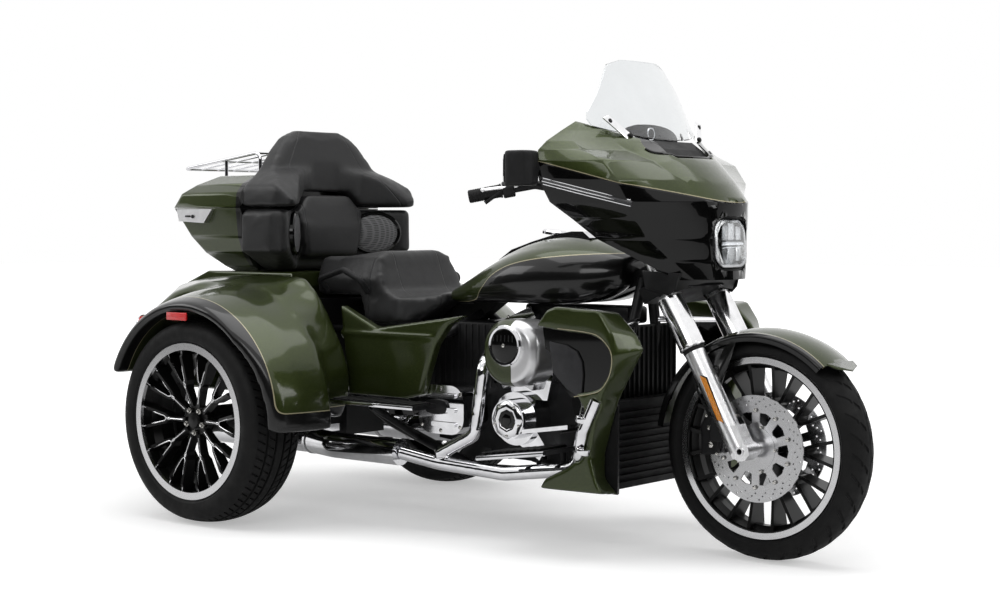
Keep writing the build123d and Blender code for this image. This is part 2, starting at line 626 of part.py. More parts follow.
trunk_bearer = rear_at * box(-165, -60, -CARRIER_HALF + 20, CARRIER_HALF - 20, 60, TRUNK_LOW_Z - SEAT_GAP)

# Stays that carry the boards, the side covers and the leg fairings
BOARD_Y = 348.0
stays = crank_at * tube([(45, -118, -208), (45, -156, -175), (45, -156, -136), (45, -300, -136)], 9, 8)
stays = stays + crank_at * tube([(135, -108, -205), (135, -156, -175), (135, -156, -124), (135, -300, -124)], 9, 8)
stays = stays + crank_at * tube([(245, -92, -185), (245, -156, -175), (245, -156, -46), (245, -316, -46)], 8, 8)
stays = stays + crank_at * rod((-465, -125, -137), (-465, -345, -20), 11)
stays = stays + crank_at * rod((-465, -165, 200), (-465, -263, 200), 10)
frame = neck + backbone + rails + crossing + axle_carrier + trunk_bearer + stays + other_side(stays)
neck_low = on_axis(HEAD_Z - 140)
frame = frame - extrude(neck_low * Circle(NECK_BORE_R), amount=300, dir=neck_low.z_dir)
keep("frame", frame)

# Rear axle with its hub flanges
HUB_FLANGE_Y = REAR_WHEEL_Y + HUB_PLATE_Y - RUN_GAP
AXLE_TUBE_R = REAR_HUB_BORE_R - 1.0
tube_end = HUB_FLANGE_Y - 26
flange = rear_at * rod((0, -HUB_FLANGE_Y, 0), (0, -HUB_FLANGE_Y + 30, 0), REAR_HUB_BORE_R - 4)
rear_axle = rear_at * rod((0, -tube_end, 0), (0, -CARRIER_HALF - SEAT_GAP, 0), AXLE_TUBE_R) + flange
keep("rear_axle", rear_axle, other_side(rear_axle))

# Engine: two finned cylinders on a crankcase, with the rocker covers on top
VEE_HALF_ANGLE = 22.5
CYLINDER_R = 76.0
BARREL_R = 54.0
FIN_COUNT = 9
FIN_PITCH = 14.0
FIN_THICK = 6.0
FIN_LOW = 112.0
HEAD_TOP = 238.0
up = (Align.CENTER, Align.CENTER, Align.MIN)
crankcase = crank_at * slab_xz(
    [(-155, -170), (155, -175), (180, -100), (145, 30), (65, 105), (-65, 105), (-145, 40), (-160, -70)], -130, 118
)
barrels, covers = [], []
for lean in (-VEE_HALF_ANGLE, VEE_HALF_ANGLE):
    tilt = crank_at * Rot(0, lean, 0)
    barrel = tilt * Pos(0, 0, 60) * Cylinder(BARREL_R, HEAD_TOP - 60, align=up)
    for i in range(FIN_COUNT):
        barrel = barrel + tilt * Pos(0, 0, FIN_LOW + FIN_PITCH * i) * Cylinder(CYLINDER_R, FIN_THICK, align=up)
    barrels.append(barrel - crankcase)
    cover_base = tilt * Pos(0, 0, HEAD_TOP + SEAT_GAP + 15) * Box(136, 152, 30)
    cover_cap = tilt * Pos(0, 0, HEAD_TOP + SEAT_GAP + 42) * Box(112, 128, 26)
    covers.append(cover_base + cover_cap)
front_side = crank_at * slab_xz([(0.5, -100), (0.5, 500), (600, 500), (600, -100)], -200, 200)
rear_side = crank_at * slab_xz([(-0.5, -100), (-0.5, 500), (-600, 500), (-600, -100)], -200, 200)
keep("cylinders", barrels[0] & rear_side, barrels[1] & front_side)
keep("rocker_covers", covers[0] & rear_side, covers[1] & front_side)
keep("crankcase", crankcase)

# Covers on the engine's sides
CAM_X, CAM_Z = CRANK_X - 9, CRANK_Z - 38
CASE_Y = -130.0
cam_body = rod((CAM_X, CASE_Y - SEAT_GAP, CAM_Z), (CAM_X, -205, CAM_Z), 80)
cam_face = rod((CAM_X, -204, CAM_Z), (CAM_X, -240, CAM_Z), 60)
cam_tail = crank_at * slab_xz([(-55, -90), (72, -158), (98, -120), (20, -20)], -190, CASE_Y - SEAT_GAP)
pushrod_block = crank_at * slab_xz([(-40, 20), (90, 20), (110, 96), (-60, 96)], -176, CASE_Y - SEAT_GAP)
pushrods = []
for lean, foot_x in ((-VEE_HALF_ANGLE, -22), (VEE_HALF_ANGLE, 58)):
    for shift in (0, 26):
        top = (foot_x + shift + 140 * tan(radians(lean)), -150, 222)
        pushrods.append(crank_at * rod((foot_x + shift, -158, 90), top, 8))
cam_cover = cam_body + cam_face + cam_tail + pushrod_block + pushrods
cam_cover = cam_cover - barrels[0] - barrels[1] - covers[0] - covers[1]
keep("cam_cover", largest(cam_cover))
primary = crank_at * slab_xz(
    [(-415, -70), (-365, -130), (35, -130), (85, -70), (85, 0), (35, 50), (-355, 50), (-415, 0)], 118.3, 218
)
primary_rim = crank_at * slab_xz([(-395, -62), (-352, -112), (25, -112), (67, -62), (67, -8), (25, 32), (-345, 32), (-395, -8)], 217, 230)
keep("primary_cover", primary + primary_rim)
gearbox = crank_at * slab_xz([(-385, -130), (-166, -150), (-161.5, -70), (-146.5, 40), (-205, 100), (-365, 80)], -120, 118)
keep("gearbox", gearbox)
cover_plane = Plane(origin=(CRANK_X - 265, -250, CRANK_Z - 24), x_dir=(1, 0, 0), z_dir=(0, 1, 0))
cover_body = extrude(cover_plane * RectangleRounded(184, 150, 52), amount=250 - 120 - SEAT_GAP)
cover_rib = [
    extrude(cover_plane.offset(-7) * Pos(14, shift, 0) * RectangleRounded(96, 14, 6), amount=12) for shift in (-44, 0, 44)
]
keep("gearbox_cover", cover_body + cover_rib)

# Air cleaner: a big rounded housing beside the cylinders, with its ring and a neck into the engine
CLEANER_X, CLEANER_Z = CRANK_X + 71, CRANK_Z + 169
cleaner_plane = Plane(origin=(CLEANER_X, -320, CLEANER_Z), x_dir=(1, 0, 0), z_dir=(0, -1, 0))
cleaner = extrude(cleaner_plane * RectangleRounded(200, 196, 84), amount=-90)
cleaner = cleaner + loft([cleaner_plane * RectangleRounded(200, 196, 84), cleaner_plane.offset(22) * RectangleRounded(168, 166, 74)])
ring = rod((CLEANER_X, -338, CLEANER_Z + 23), (CLEANER_X, -352, CLEANER_Z + 23), 56)
ring = ring - rod((CLEANER_X, -346, CLEANER_Z + 23), (CLEANER_X, -353, CLEANER_Z + 23), 48)
neck_pipe = rod((CRANK_X + 5, -40, CRANK_Z + 160), (CLEANER_X - 40, -232, CLEANER_Z), 24)
air_cleaner = cleaner + ring + (neck_pipe - barrels[0] - barrels[1] - covers[0] - covers[1])
keep("air_cleaner", largest(air_cleaner - NODES["cam_cover"]))

# Exhaust: two headers joining into the right-hand muffler, with a second muffler on the left
PIPE_Y = -280.0
PIPE_Z = CRANK_Z - 164
front_header = tube(
    [
        (CRANK_X + 118, -34, CRANK_Z + 150), (CRANK_X + 208, -96, CRANK_Z + 140), (CRANK_X + 196, -170, CRANK_Z - 175),
        (CRANK_X - 20, -240, CRANK_Z - 200), (CRANK_X - 265, -262, CRANK_Z - 186), (CRANK_X - 402, PIPE_Y, PIPE_Z),
    ],
    22, 42,
)
rear_header = tube(
    [
        (CRANK_X - 112, -34, CRANK_Z + 160), (CRANK_X - 160, -130, CRANK_Z + 160), (CRANK_X - 106, -236, CRANK_Z + 120),
        (CRANK_X - 130, -246, CRANK_Z - 90), (CRANK_X - 265, -260, CRANK_Z - 160),
    ],
    21, 38,
)
exhaust = front_header + rear_header - barrels[0] - barrels[1] - covers[0] - covers[1]
MUFFLER_R = 41.0
muffler_end = REAR_AXLE_X - 623
muffler = tube(
    [
        (CRANK_X - 402.3, PIPE_Y, PIPE_Z), (REAR_AXLE_X + 269, PIPE_Y, PIPE_Z), (REAR_AXLE_X + 120, -235, PIPE_Z),
        (muffler_end, -235, PIPE_Z),
    ],
    MUFFLER_R, 90,
)
muffler_blank = muffler
muffler = muffler - rod((muffler_end - 1, -235, PIPE_Z), (muffler_end + 60, -235, PIPE_Z), MUFFLER_R - 5)
hanger = box(REAR_AXLE_X + 92, REAR_AXLE_X + 118, -230, -90, PIPE_Z + 20, PIPE_Z + 44) - muffler - axle_carrier
keep("mufflers", muffler + largest(hanger), other_side(muffler + largest(hanger)))
keep("exhaust_pipes", largest(exhaust - NODES["gearbox_cover"] - NODES["cam_cover"] - frame - muffler_blank))

# Fuel tank, with the console along its top
TANK_SECTIONS = [
    # place along, low height and half-width, middle height and half-width, upper height and half-width, top height
    (295, 365, 62, 400, 78, 438, 58, 448),
    (175, 312, 118, 372, 150, 468, 96, 493),
    (25, 304, 146, 374, 176, 476, 108, 506),
    (-155, 303, 138, 358, 160, 432, 100, 458),
    (-365, 302, 84, 314, 92, 328, 58, 336),
]


def tank_section(x, low_z, low_y, middle_z, middle_y, upper_z, upper_y, top_z):
    """A front-view section of the tank."""
    edges = [
        Line((x, -low_y, low_z), (x, low_y, low_z)),
        ThreePointArc((x, low_y, low_z), (x, middle_y, middle_z), (x, upper_y, upper_z)),
        ThreePointArc((x, upper_y, upper_z), (x, 0, top_z), (x, -upper_y, upper_z)),
        ThreePointArc((x, -upper_y, upper_z), (x, -middle_y, middle_z), (x, -low_y, low_z)),
    ]
    return make_face(edges)


tank_body = crank_at * loft([tank_section(*row) for row in TANK_SECTIONS])
tank = tank_body - slab_xz(
    [
        (CRANK_X - 400, CRANK_Z + 250), (CRANK_X - 325, CRANK_Z + 290.3), (CRANK_X - 275, CRANK_Z + 355.3),
        (CRANK_X + 165, CRANK_Z + 390.3), (HEAD_X - 125, HEAD_Z - 35.7), (HEAD_X, HEAD_Z - 20), (HEAD_X, CRANK_Z + 250),
    ],
    -24 - SEAT_GAP, 24 + SEAT_GAP,
)
console = slab_xz(
    [(-240, 410), (-155, 464), (-75, 489), (2, 509), (78, 521), (120, 521), (146, 502), (150, 420), (-240, 340)], -42, 42
)
console = largest(crank_at * console - tank_body)
keep("fuel_tank", tank)
keep("tank_console", console)

# Seat: a low rider's part with deep sides, a hump behind it and the passenger's part
seat_side = rear_at * slab_xz(
    [
        (588, 408), (525, 385), (455, 379), (405, 402), (378, 470), (364, 522), (340, 528), (270, 516), (180, 506),
        (97, 507), (97, 392), (300, 392), (330, 300), (480, 300), (588, 376),
    ],
    -210, 210,
)
seat_plan = rear_at * slab_xy(
    [(635, -62), (635, 62), (545, 130), (455, 186), (350, 204), (75, 192), (75, -192), (350, -204), (455, -186), (545, -130)],
    250, 600,
)
seat_front = slab_yz(
    [(-210, 275), (-210, 420), (-168, 507), (-110, 531), (110, 531), (168, 507), (210, 420), (210, 275)],
    -800, 200,
)
seat = (seat_side & seat_plan & (Pos(0, 0, REAR_TYRE_R) * seat_front)) - tank_body - rails - backbone - crossing
seat = seat - slab_xz(
    [
        (REAR_AXLE_X + 70, REAR_TYRE_R + 240), (REAR_AXLE_X + 70, REAR_TYRE_R + 366), (CRANK_X - 325, CRANK_Z + 291),
        (CRANK_X - 275, CRANK_Z + 356), (CRANK_X - 260, CRANK_Z + 160),
    ],
    -24 - SEAT_GAP, 24 + SEAT_GAP,
)
keep("seat", largest(seat))
grab = rear_at * tube([(345, -206, 400), (345, -240, 440), (270, -240, 472), (160, -240, 440), (160, -200, 400)], 10, 22)
grab = largest(grab - NODES["seat"])
keep("grab_handles", grab, other_side(grab))

# Top box: a hollow tub with a hinged lid
BOX_WALL = 5.0
BOX_FRONT_X = -117.0
SEAM_Z = 671.0
TRUNK_TOP_Z = 459.0
BOX_LOW_Z = TRUNK_TOP_Z + SEAT_GAP
LID_GAP = 2.0


def level(z, front_x, rear_x, front_half, rear_half, corner=36.0):
    """A level, slightly tapered outline for the top box and the trunk."""
    points = [
        (front_x, -front_half), (rear_x + corner, -rear_half), (rear_x, -rear_half + corner),
        (rear_x, rear_half - corner), (rear_x + corner, rear_half), (front_x, front_half),
    ]
    return make_face(Polyline([(x, y, z) for x, y in points], close=True))


def hollow(sections, wall, floor=0.0, roof=0.0):
    """The outer body lofted through level sections, and its inside at one wall's distance."""
    outer = loft([level(*row) for row in sections], ruled=True)
    inner_rows = []
    for i, (z, front_x, rear_x, front_half, rear_half) in enumerate(sections):
        lift = floor if i == 0 else -roof if i == len(sections) - 1 else 0.0
        inner_rows.append((z + lift, front_x - wall, rear_x + wall, front_half - wall, rear_half - wall))
    return outer, loft([level(*row) for row in inner_rows], ruled=True)


BOX_SECTIONS = [
    # height, front x, rear x, half-width in front, half-width behind
    (BOX_LOW_Z, BOX_FRONT_X, -290, 240, 230),
    (475, BOX_FRONT_X, -319, 266, 246),
    (521, BOX_FRONT_X, -371, 300, 288),
    (575, BOX_FRONT_X, -425, 320, 304),
    (SEAM_Z, BOX_FRONT_X, -497, 330, 318),
]
LID_SECTIONS = [
    (SEAM_Z + LID_GAP, BOX_FRONT_X, -499, 330, 318),
    (720, BOX_FRONT_X, -465, 326, 312),
    (750, BOX_FRONT_X, -417, 302, 286),
    (781, BOX_FRONT_X, -357, 244, 232),
]
tub, tub_inside = hollow(BOX_SECTIONS, BOX_WALL, floor=BOX_WALL)
lid, lid_inside = hollow(LID_SECTIONS, BOX_WALL, roof=BOX_WALL)
HINGE_Y, HINGE_Z = 352.0, SEAM_Z + 1.0
PIN_R = 4.0
pin_from, pin_to = -321, -189
hinge_pin = rod((pin_from, HINGE_Y, HINGE_Z), (pin_to, HINGE_Y, HINGE_Z), PIN_R)
brackets = []
for x in (pin_from, pin_to - 12):
    brackets.append(box(x, x + 12, 318, HINGE_Y + 5, SEAM_Z - 22, SEAM_Z - 4) - tub_inside - tub)
    brackets.append(box(x, x + 12, HINGE_Y - 6, HINGE_Y + 5, SEAM_Z - 5, HINGE_Z + 4))
keep("top_box", rear_at * ((tub - tub_inside) + brackets + hinge_pin))
leaf = box(pin_from + 16, pin_to - 16, 322, HINGE_Y, SEAM_Z + 3, SEAM_Z + 8)
leaf = leaf + rod((pin_from + 16, HINGE_Y, HINGE_Z), (pin_to - 16, HINGE_Y, HINGE_Z), PIN_R + 4)
leaf = leaf - rod((pin_from, HINGE_Y, HINGE_Z), (pin_to, HINGE_Y, HINGE_Z), PIN_R + SEAT_GAP) - lid_inside
keep("box_lid", rear_at * ((lid - lid_inside) + leaf))
latch = slab_xz([(-429, 668), (-417, 627), (-291, 621), (-249, 668)], -337, -300)
latch = rear_at * largest(latch - tub)
keep("box_latch", latch)

# Wrap-round backrest: a fixed lower housing with wings and speakers, and an upper pad on the lid
PAD_GAP = 0.5
housing_plan = [(BOX_FRONT_X + PAD_GAP, -330), (27, -330), (65, -306), (61, -286), (-61, -128)]
housing_plan = housing_plan + [(x, -y) for x, y in reversed(housing_plan)]
housing_front = slab_yz(
    [
        (-225, BOX_LOW_Z), (-330, 525), (-330, 653), (-318, 665), (318, 665), (330, 653), (330, 525),
        (225, BOX_LOW_Z),
    ],
    BOX_FRONT_X, 100,
)
housing_side = slab_xz(
    [
        (BOX_FRONT_X, BOX_LOW_Z), (-50, BOX_LOW_Z), (5, 487), (59, 525), (65, 649), (49, 665),
        (BOX_FRONT_X, 665),
    ],
    -400, 400,
)
housing = slab_xy(housing_plan, BOX_LOW_Z, 700) & housing_front & housing_side
centre_pad = slab_yz([(-122, 507), (-150, 665), (-112, 709), (-90, 720), (90, 720), (112, 709), (150, 665), (122, 507)], -65, -5)
centre_pad = centre_pad & slab_xz([(-65, 507), (-17, 507), (-9, 605), (-33, 720), (-65, 720)], -200, 200)
keep("backrest_lower", rear_at * (housing + centre_pad))
upper_back = slab_yz(
    [
        (-330, 678), (-322, 745), (-256, 799), (-206, 865), (-156, 915), (-100, 937), (100, 937),
        (156, 915), (206, 865), (256, 799), (322, 745), (330, 678), (153, 678), (114, 719), (94, 725), (-94, 725), (-114, 719), (-153, 678),
    ],
    BOX_FRONT_X + PAD_GAP, 105,
)
upper_side = slab_xz(
    [
        (BOX_FRONT_X, 678), (BOX_FRONT_X, 937), (-77, 937), (-53, 805), (5, 779),
        (59, 739), (95, 699), (83, 678),
    ],
    -400, 400,
)
upper_plan = slab_xy(
    [
        (BOX_FRONT_X, -330), (35, -330), (97, -300), (89, -270), (-25, -150), (-57, -60),
        (-57, 60), (-25, 150), (89, 270), (97, 300), (35, 330), (BOX_FRONT_X, 330),
    ],
    600, 1000,
)
keep("backrest_upper", rear_at * (upper_back & upper_side & upper_plan))
speaker_plane = Plane(origin=(-8, -196.6, 587), x_dir=(0.6112, -0.7915, 0), z_dir=(0.7915, 0.6112, 0))
speaker = extrude(speaker_plane.offset(SEAT_GAP) * Ellipse(82, 66), amount=14)
speaker = rear_at * largest(speaker - centre_pad)
keep("speaker_pods", speaker, other_side(speaker))
rack_bar = rear_at * tube(
    [
        (-175, -185, 779), (-175, -185, 861), (-563, -185, 811), (-563, 185, 811),
        (-175, 185, 861), (-175, 185, 779),
    ],
    6, 24,
)
rack_rails = [rear_at * rod((-195, y, 858.4), (-563, y, 811), 4) for y in (-111, -37, 37, 111)]
rack_cross = [rear_at * rod((x, -185, z), (x, 185, z), 4) for x, z in ((-195, 858.4), (-380, 834.6))]
rack_feet = [rear_at * rod((-345, y, 779), (-345, y, 839), 6) for y in (-185, 185)]
rack = rack_bar + rack_rails + rack_cross + rack_feet - NODES["box_lid"] - rear_at * lid_inside
keep("luggage_rack", largest(rack))

# Trunk between the rear wheels, with its door at the rear
TRUNK_WALL = 5.0
TRUNK_HALF = 300.0
DOOR_X = -475.0
TRUNK_SECTIONS = [
    (TRUNK_LOW_Z, -111, -475, TRUNK_HALF, TRUNK_HALF - 6),
    (145, -111, -501, TRUNK_HALF, TRUNK_HALF - 4),
    (275, -111, -527, TRUNK_HALF, TRUNK_HALF - 2),
    (365, 75, -511, TRUNK_HALF, TRUNK_HALF - 4),
    (415, 95, -465, TRUNK_HALF, TRUNK_HALF - 4),
    (TRUNK_TOP_Z, 95, -355, TRUNK_HALF - 2, TRUNK_HALF - 8),
]
trunk_outer, trunk_inside = hollow(TRUNK_SECTIONS, TRUNK_WALL, floor=TRUNK_WALL, roof=TRUNK_WALL)
trunk_shell = trunk_outer - trunk_inside
door_hole = box(-800, DOOR_X, -240, 240, 161, 359)
door_part = box(-800, DOOR_X - 1, -238, 238, 163, 357)
DOOR_HINGE_X, DOOR_HINGE_Y = -536.0, 262.0
door_pin = rod((DOOR_HINGE_X, DOOR_HINGE_Y, 227), (DOOR_HINGE_X, DOOR_HINGE_Y, 323), PIN_R)
door_ears = []
for z in (227, 315):
    ear = box(DOOR_HINGE_X - 7, DOOR_X - 20, DOOR_HINGE_Y - 7, DOOR_HINGE_Y + 7, z, z + 8) - trunk_outer
    door_ears.append(largest(ear))
keep("trunk", rear_at * ((trunk_shell - door_hole) + door_ears + door_pin))
door_leaf = box(DOOR_HINGE_X - 4, DOOR_HINGE_X + 1, 210, DOOR_HINGE_Y, 241, 309)
door_leaf = door_leaf + box(DOOR_HINGE_X, DOOR_HINGE_X + 16, 210, 234, 251, 299) - trunk_outer
door_leaf = door_leaf + Pos(DOOR_HINGE_X, DOOR_HINGE_Y, 275) * Cylinder(PIN_R + 4, 68)
door_leaf = door_leaf - rod((DOOR_HINGE_X, DOOR_HINGE_Y, 215), (DOOR_HINGE_X, DOOR_HINGE_Y, 335), PIN_R + SEAT_GAP)
keep("trunk_door", rear_at * largest((trunk_shell & door_part) + door_leaf))

# Rear fenders: a round wing over each wheel, grown out of a body beside the trunk
ARCH_GAP = 20.0
ARCH_R = REAR_TYRE_R + ARCH_GAP
WING_PROFILE = [
    # radius from the axle, distance from the middle: the wing's outer surface from the body outwards
    (428, 440), (424, 470), (420, 500), (412, 560), (392, 640), (376, 686), (366, 692), (352, 692),
]
wing_section = [(r, -y) for r, y in WING_PROFILE] + [(300, -692), (300, -440)]
wing_angles = (-2.0, 158.0)
crown = rear_at * swept([Line(wing_section[i], wing_section[(i + 1) % len(wing_section)]) for i in range(len(wing_section))], *wing_angles)
crown = crown & slab_xy([(REAR_AXLE_X - 460, -700), (REAR_AXLE_X + 225, -695), (REAR_AXLE_X + 400, -640), (REAR_AXLE_X + 460, -600), (REAR_AXLE_X + 460, -430), (REAR_AXLE_X - 460, -430)], 0, 900)
BODY_OUTLINES = [
    # distance from the middle, and the side-view outline there, from the low front corner round the top
    (
        -TRUNK_HALF - SEAT_GAP,
        [
            (333, 3), (365, 79), (365, 158), (335, 236), (269, 345), (225, 407),
            (170, 454), (-41, 459), (-303, 442), (-458, 414), (-511, 355),
            (-527, 275), (-495, 115), (-455, 75), (-205, 75), (195, 75), (275, 3),
        ],
    ),
    (
        -450,
        [
            (350, 25), (377, 79), (383, 130), (350, 236), (270, 337), (185, 393),
            (95, 423), (-35, 435), (-185, 427), (-315, 391), (-415, 335),
            (-481, 275), (-465, 125), (-435, 75), (-205, 75), (195, 75), (275, 25),
        ],
    ),
]
wing_body = rear_at * layered(BODY_OUTLINES)
arch = rear_at * rod((0, -REAR_WHEEL_Y + REAR_TYRE_HALF + 16, 0), (0, -720, 0), ARCH_R)
arch = arch + rear_at * box(-ARCH_R, ARCH_R, -720, -REAR_WHEEL_Y + REAR_TYRE_HALF + 16, -REAR_TYRE_R, 0)
wing = wing_body + crown - arch - rear_at * rod((0, -200, 0), (0, -500, 0), AXLE_TUBE_R + 8)
wing = largest(wing)
keep("rear_fenders", wing, other_side(wing))
tail_lamp = rear_at * rod((-445, -412, 281), (-507, -424, 275), 30) - wing
tail_lamp = largest(tail_lamp)
keep("tail_lamps", tail_lamp, other_side(tail_lamp))

# Side covers below the seat, with the ledge that runs forward from the fender
COVER_OUTLINE = [
    (REAR_AXLE_X + 333, REAR_TYRE_R + 80), (REAR_AXLE_X + 583, REAR_TYRE_R + 80), (CRANK_X - 314, CRANK_Z + 20),
    (CRANK_X - 294, CRANK_Z + 83), (CRANK_X - 257, CRANK_Z + 176), (CRANK_X - 205, CRANK_Z + 240),
    (CRANK_X - 140, CRANK_Z + 270), (CRANK_X - 506, CRANK_Z + 219), (REAR_AXLE_X + 300, REAR_TYRE_R + 361),
]
cover = slab_xz(COVER_OUTLINE, -286, -250)
ledge = slab_yz(
    [(-292, REAR_TYRE_R + 277), (-250, REAR_TYRE_R + 300), (-250, REAR_TYRE_R + 262), (-286, REAR_TYRE_R + 262)],
    REAR_AXLE_X + 300, CRANK_X - 264,
)
shoulder = layered([
    (-286, [(REAR_AXLE_X + 300, REAR_TYRE_R + 280), (CRANK_X - 506, CRANK_Z + 204), (CRANK_X - 264, CRANK_Z + 204), (CRANK_X - 300, CRANK_Z + 180), (REAR_AXLE_X + 300, REAR_TYRE_R + 255)]),
    (-212, [(REAR_AXLE_X + 300, REAR_TYRE_R + 290), (CRANK_X - 506, CRANK_Z + 215), (CRANK_X - 264, CRANK_Z + 215), (CRANK_X - 300, CRANK_Z + 190), (REAR_AXLE_X + 300, REAR_TYRE_R + 275)]),
])
cover = (cover + ledge + shoulder) - wing_body - frame - NODES["seat"]
cover = largest(cover)
keep("side_covers", cover, other_side(cover))

# Lower leg fairings: a C-shaped shell on each side, with a black pocket plate behind its opening
C_OUTSIDE = [
    (213, 256), (249, 302), (281, 314), (435, 306), (473, 250), (487, 182),
    (439, 70), (419, 0), (403, -100), (425, -165), (447, -200), (228, -203),
]
C_BACK = [
    (205, 250), (240, 297), (275, 309), (440, 298), (503, 240), (527, 198),
    (444, 55), (425, 0), (395, -100), (393, -169), (439, -212), (175, -215),
]
C_OPENING = [
    (246, -173), (331, -132), (367, -100), (383, 30), (353, 73), (411, 84),
    (438, 94), (465, 131), (473, 173), (465, 200), (437, 226), (403, 238), (299, 245),
]
LEG_OUT_Y, LEG_IN_Y = -388.0, -296.0

guard_path = [
    (HEAD_X - 147, -88, CRANK_Z - 110), (HEAD_X - 130, -300, CRANK_Z - 110), (HEAD_X - 70, -380, CRANK_Z - 108),
    (HEAD_X - 45, -393, CRANK_Z - 28), (HEAD_X - 8, -384, CRANK_Z + 58),
]
GUARD_R = 16.0
leg_shell = layered([(LEG_OUT_Y, C_OUTSIDE + C_OPENING), (LEG_IN_Y, C_BACK + C_OPENING)])
leg_shell = crank_at * leg_shell - tube(guard_path, GUARD_R + SEAT_GAP, 30)
leg_fairing = largest(leg_shell)
keep("leg_fairings", leg_fairing, other_side(leg_fairing))
pocket = [(205, 256), (215, 190), (295, 140), (345, 62)] + C_OPENING[4:]
pocket = largest(crank_at * slab_xz(pocket, -344, -338) - leg_fairing)
keep("leg_pockets", pocket, other_side(pocket))

# Radiator housing between the leg fairings, with slats across its face
RADIATOR_LOW_Z, RADIATOR_TOP_Z = CRANK_Z - 213, CRANK_Z + 37
side_y = -LEG_IN_Y - SEAT_GAP
housing_outline = [(HEAD_X - 110, -side_y), (HEAD_X + 4, -side_y), (HEAD_X - 8, -side_y + 24), (HEAD_X - 55, -228)]
housing_outline = housing_outline + [(x, -y) for x, y in reversed(housing_outline)]
radiator = slab_xy(housing_outline, RADIATOR_LOW_Z, RADIATOR_TOP_Z)
SLAT_COUNT = 11
SLAT_PITCH = 20.0
for i in range(SLAT_COUNT):
    z = RADIATOR_LOW_Z + 18 + SLAT_PITCH * i
    radiator = radiator - box(HEAD_X - 67, HEAD_X + 10, -215, 215, z, z + SLAT_PITCH - 7)
keep("radiator_housing", largest(radiator - rails - frame))

# Engine guard: a bright tube round each side, and a strut from the neck to the leg fairing
guard = largest(tube(guard_path, GUARD_R, 30) - frame - NODES["radiator_housing"])
strut = rod((HEAD_X - 105, -52, CRANK_Z + 262), (HEAD_X + 2, LEG_IN_Y - 3, CRANK_Z + 250), 9)
strut = largest(strut - frame - leg_fairing)
keep("engine_guard", guard, strut, other_side(guard), other_side(strut))

# Boards and levers
BOARD_THICK = 14.0
board = slab_xz([(19, -139), (276, -103), (276, -103 + BOARD_THICK), (19, -139 + BOARD_THICK)], -420, -275)
board = largest(crank_at * board - frame)
keep("rider_boards", board, other_side(board))
rear_board = slab_xz([(-573, -12), (-223, -12), (-223, 2), (-573, 2)], -420, -320)
rear_board = largest(crank_at * rear_board - frame)
keep("passenger_boards", rear_board, other_side(rear_board))
pedal = largest(crank_at * slab_xz([(130, -60), (295, -35), (295, -23), (130, -48)], -345, -305) - frame)
keep("foot_levers", pedal, other_side(pedal))

os.makedirs("parts", exist_ok=True)
for name, shape in NODES.items():
    export_step(shape, "parts/" + name + ".step")
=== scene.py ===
"""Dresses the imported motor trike: finishes, tyres, pads, engine brightwork and small fittings.

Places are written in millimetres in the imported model's frame, and become metres where a mesh is made.
"""

from __future__ import annotations

import json
import logging
import math
from collections.abc import Callable, Iterable, Sequence
from dataclasses import dataclass
from enum import Enum

import bpy
from mathutils import Matrix, Vector
from mathutils.bvhtree import BVHTree

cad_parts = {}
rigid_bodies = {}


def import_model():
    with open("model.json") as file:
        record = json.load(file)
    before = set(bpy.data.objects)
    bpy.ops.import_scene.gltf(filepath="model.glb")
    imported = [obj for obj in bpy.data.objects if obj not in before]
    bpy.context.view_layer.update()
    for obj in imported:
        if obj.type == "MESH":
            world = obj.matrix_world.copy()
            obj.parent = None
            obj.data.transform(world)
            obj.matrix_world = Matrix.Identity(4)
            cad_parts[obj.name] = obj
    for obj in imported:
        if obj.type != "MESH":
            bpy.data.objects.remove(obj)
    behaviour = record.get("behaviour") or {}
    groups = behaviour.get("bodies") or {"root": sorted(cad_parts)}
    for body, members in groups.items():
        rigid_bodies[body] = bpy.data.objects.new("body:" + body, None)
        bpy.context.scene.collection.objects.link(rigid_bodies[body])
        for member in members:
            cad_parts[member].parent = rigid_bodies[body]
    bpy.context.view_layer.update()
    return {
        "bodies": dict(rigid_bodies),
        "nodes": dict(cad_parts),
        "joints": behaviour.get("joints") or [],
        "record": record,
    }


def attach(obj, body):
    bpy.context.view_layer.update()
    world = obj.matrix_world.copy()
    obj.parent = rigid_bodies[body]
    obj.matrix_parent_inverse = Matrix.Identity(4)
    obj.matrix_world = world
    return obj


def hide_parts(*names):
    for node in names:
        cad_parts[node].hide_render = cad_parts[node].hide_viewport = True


log = logging.getLogger("trike")

Triple = tuple[float, float, float]
Pair = tuple[float, float]
Shape = bpy.types.Object
Material = bpy.types.Material
Socket = bpy.types.NodeSocket

MM = 0.001
RIGHT = -1
LEFT = 1


def mm(x: float, y: float, z: float) -> Vector:
    """A point given in millimetres, in metres."""
    return Vector((x, y, z)) * MM


class Body(Enum):
    """The moving bodies of the machine."""

    CHASSIS = "chassis"
    STEERING = "steering"
    FRONT_WHEEL = "front_wheel"
    REAR_RIGHT = "rear_wheel_right"
    REAR_LEFT = "rear_wheel_left"
    BOX_LID = "box_lid_body"
    TRUNK_DOOR = "trunk_door_body"


# Finishes


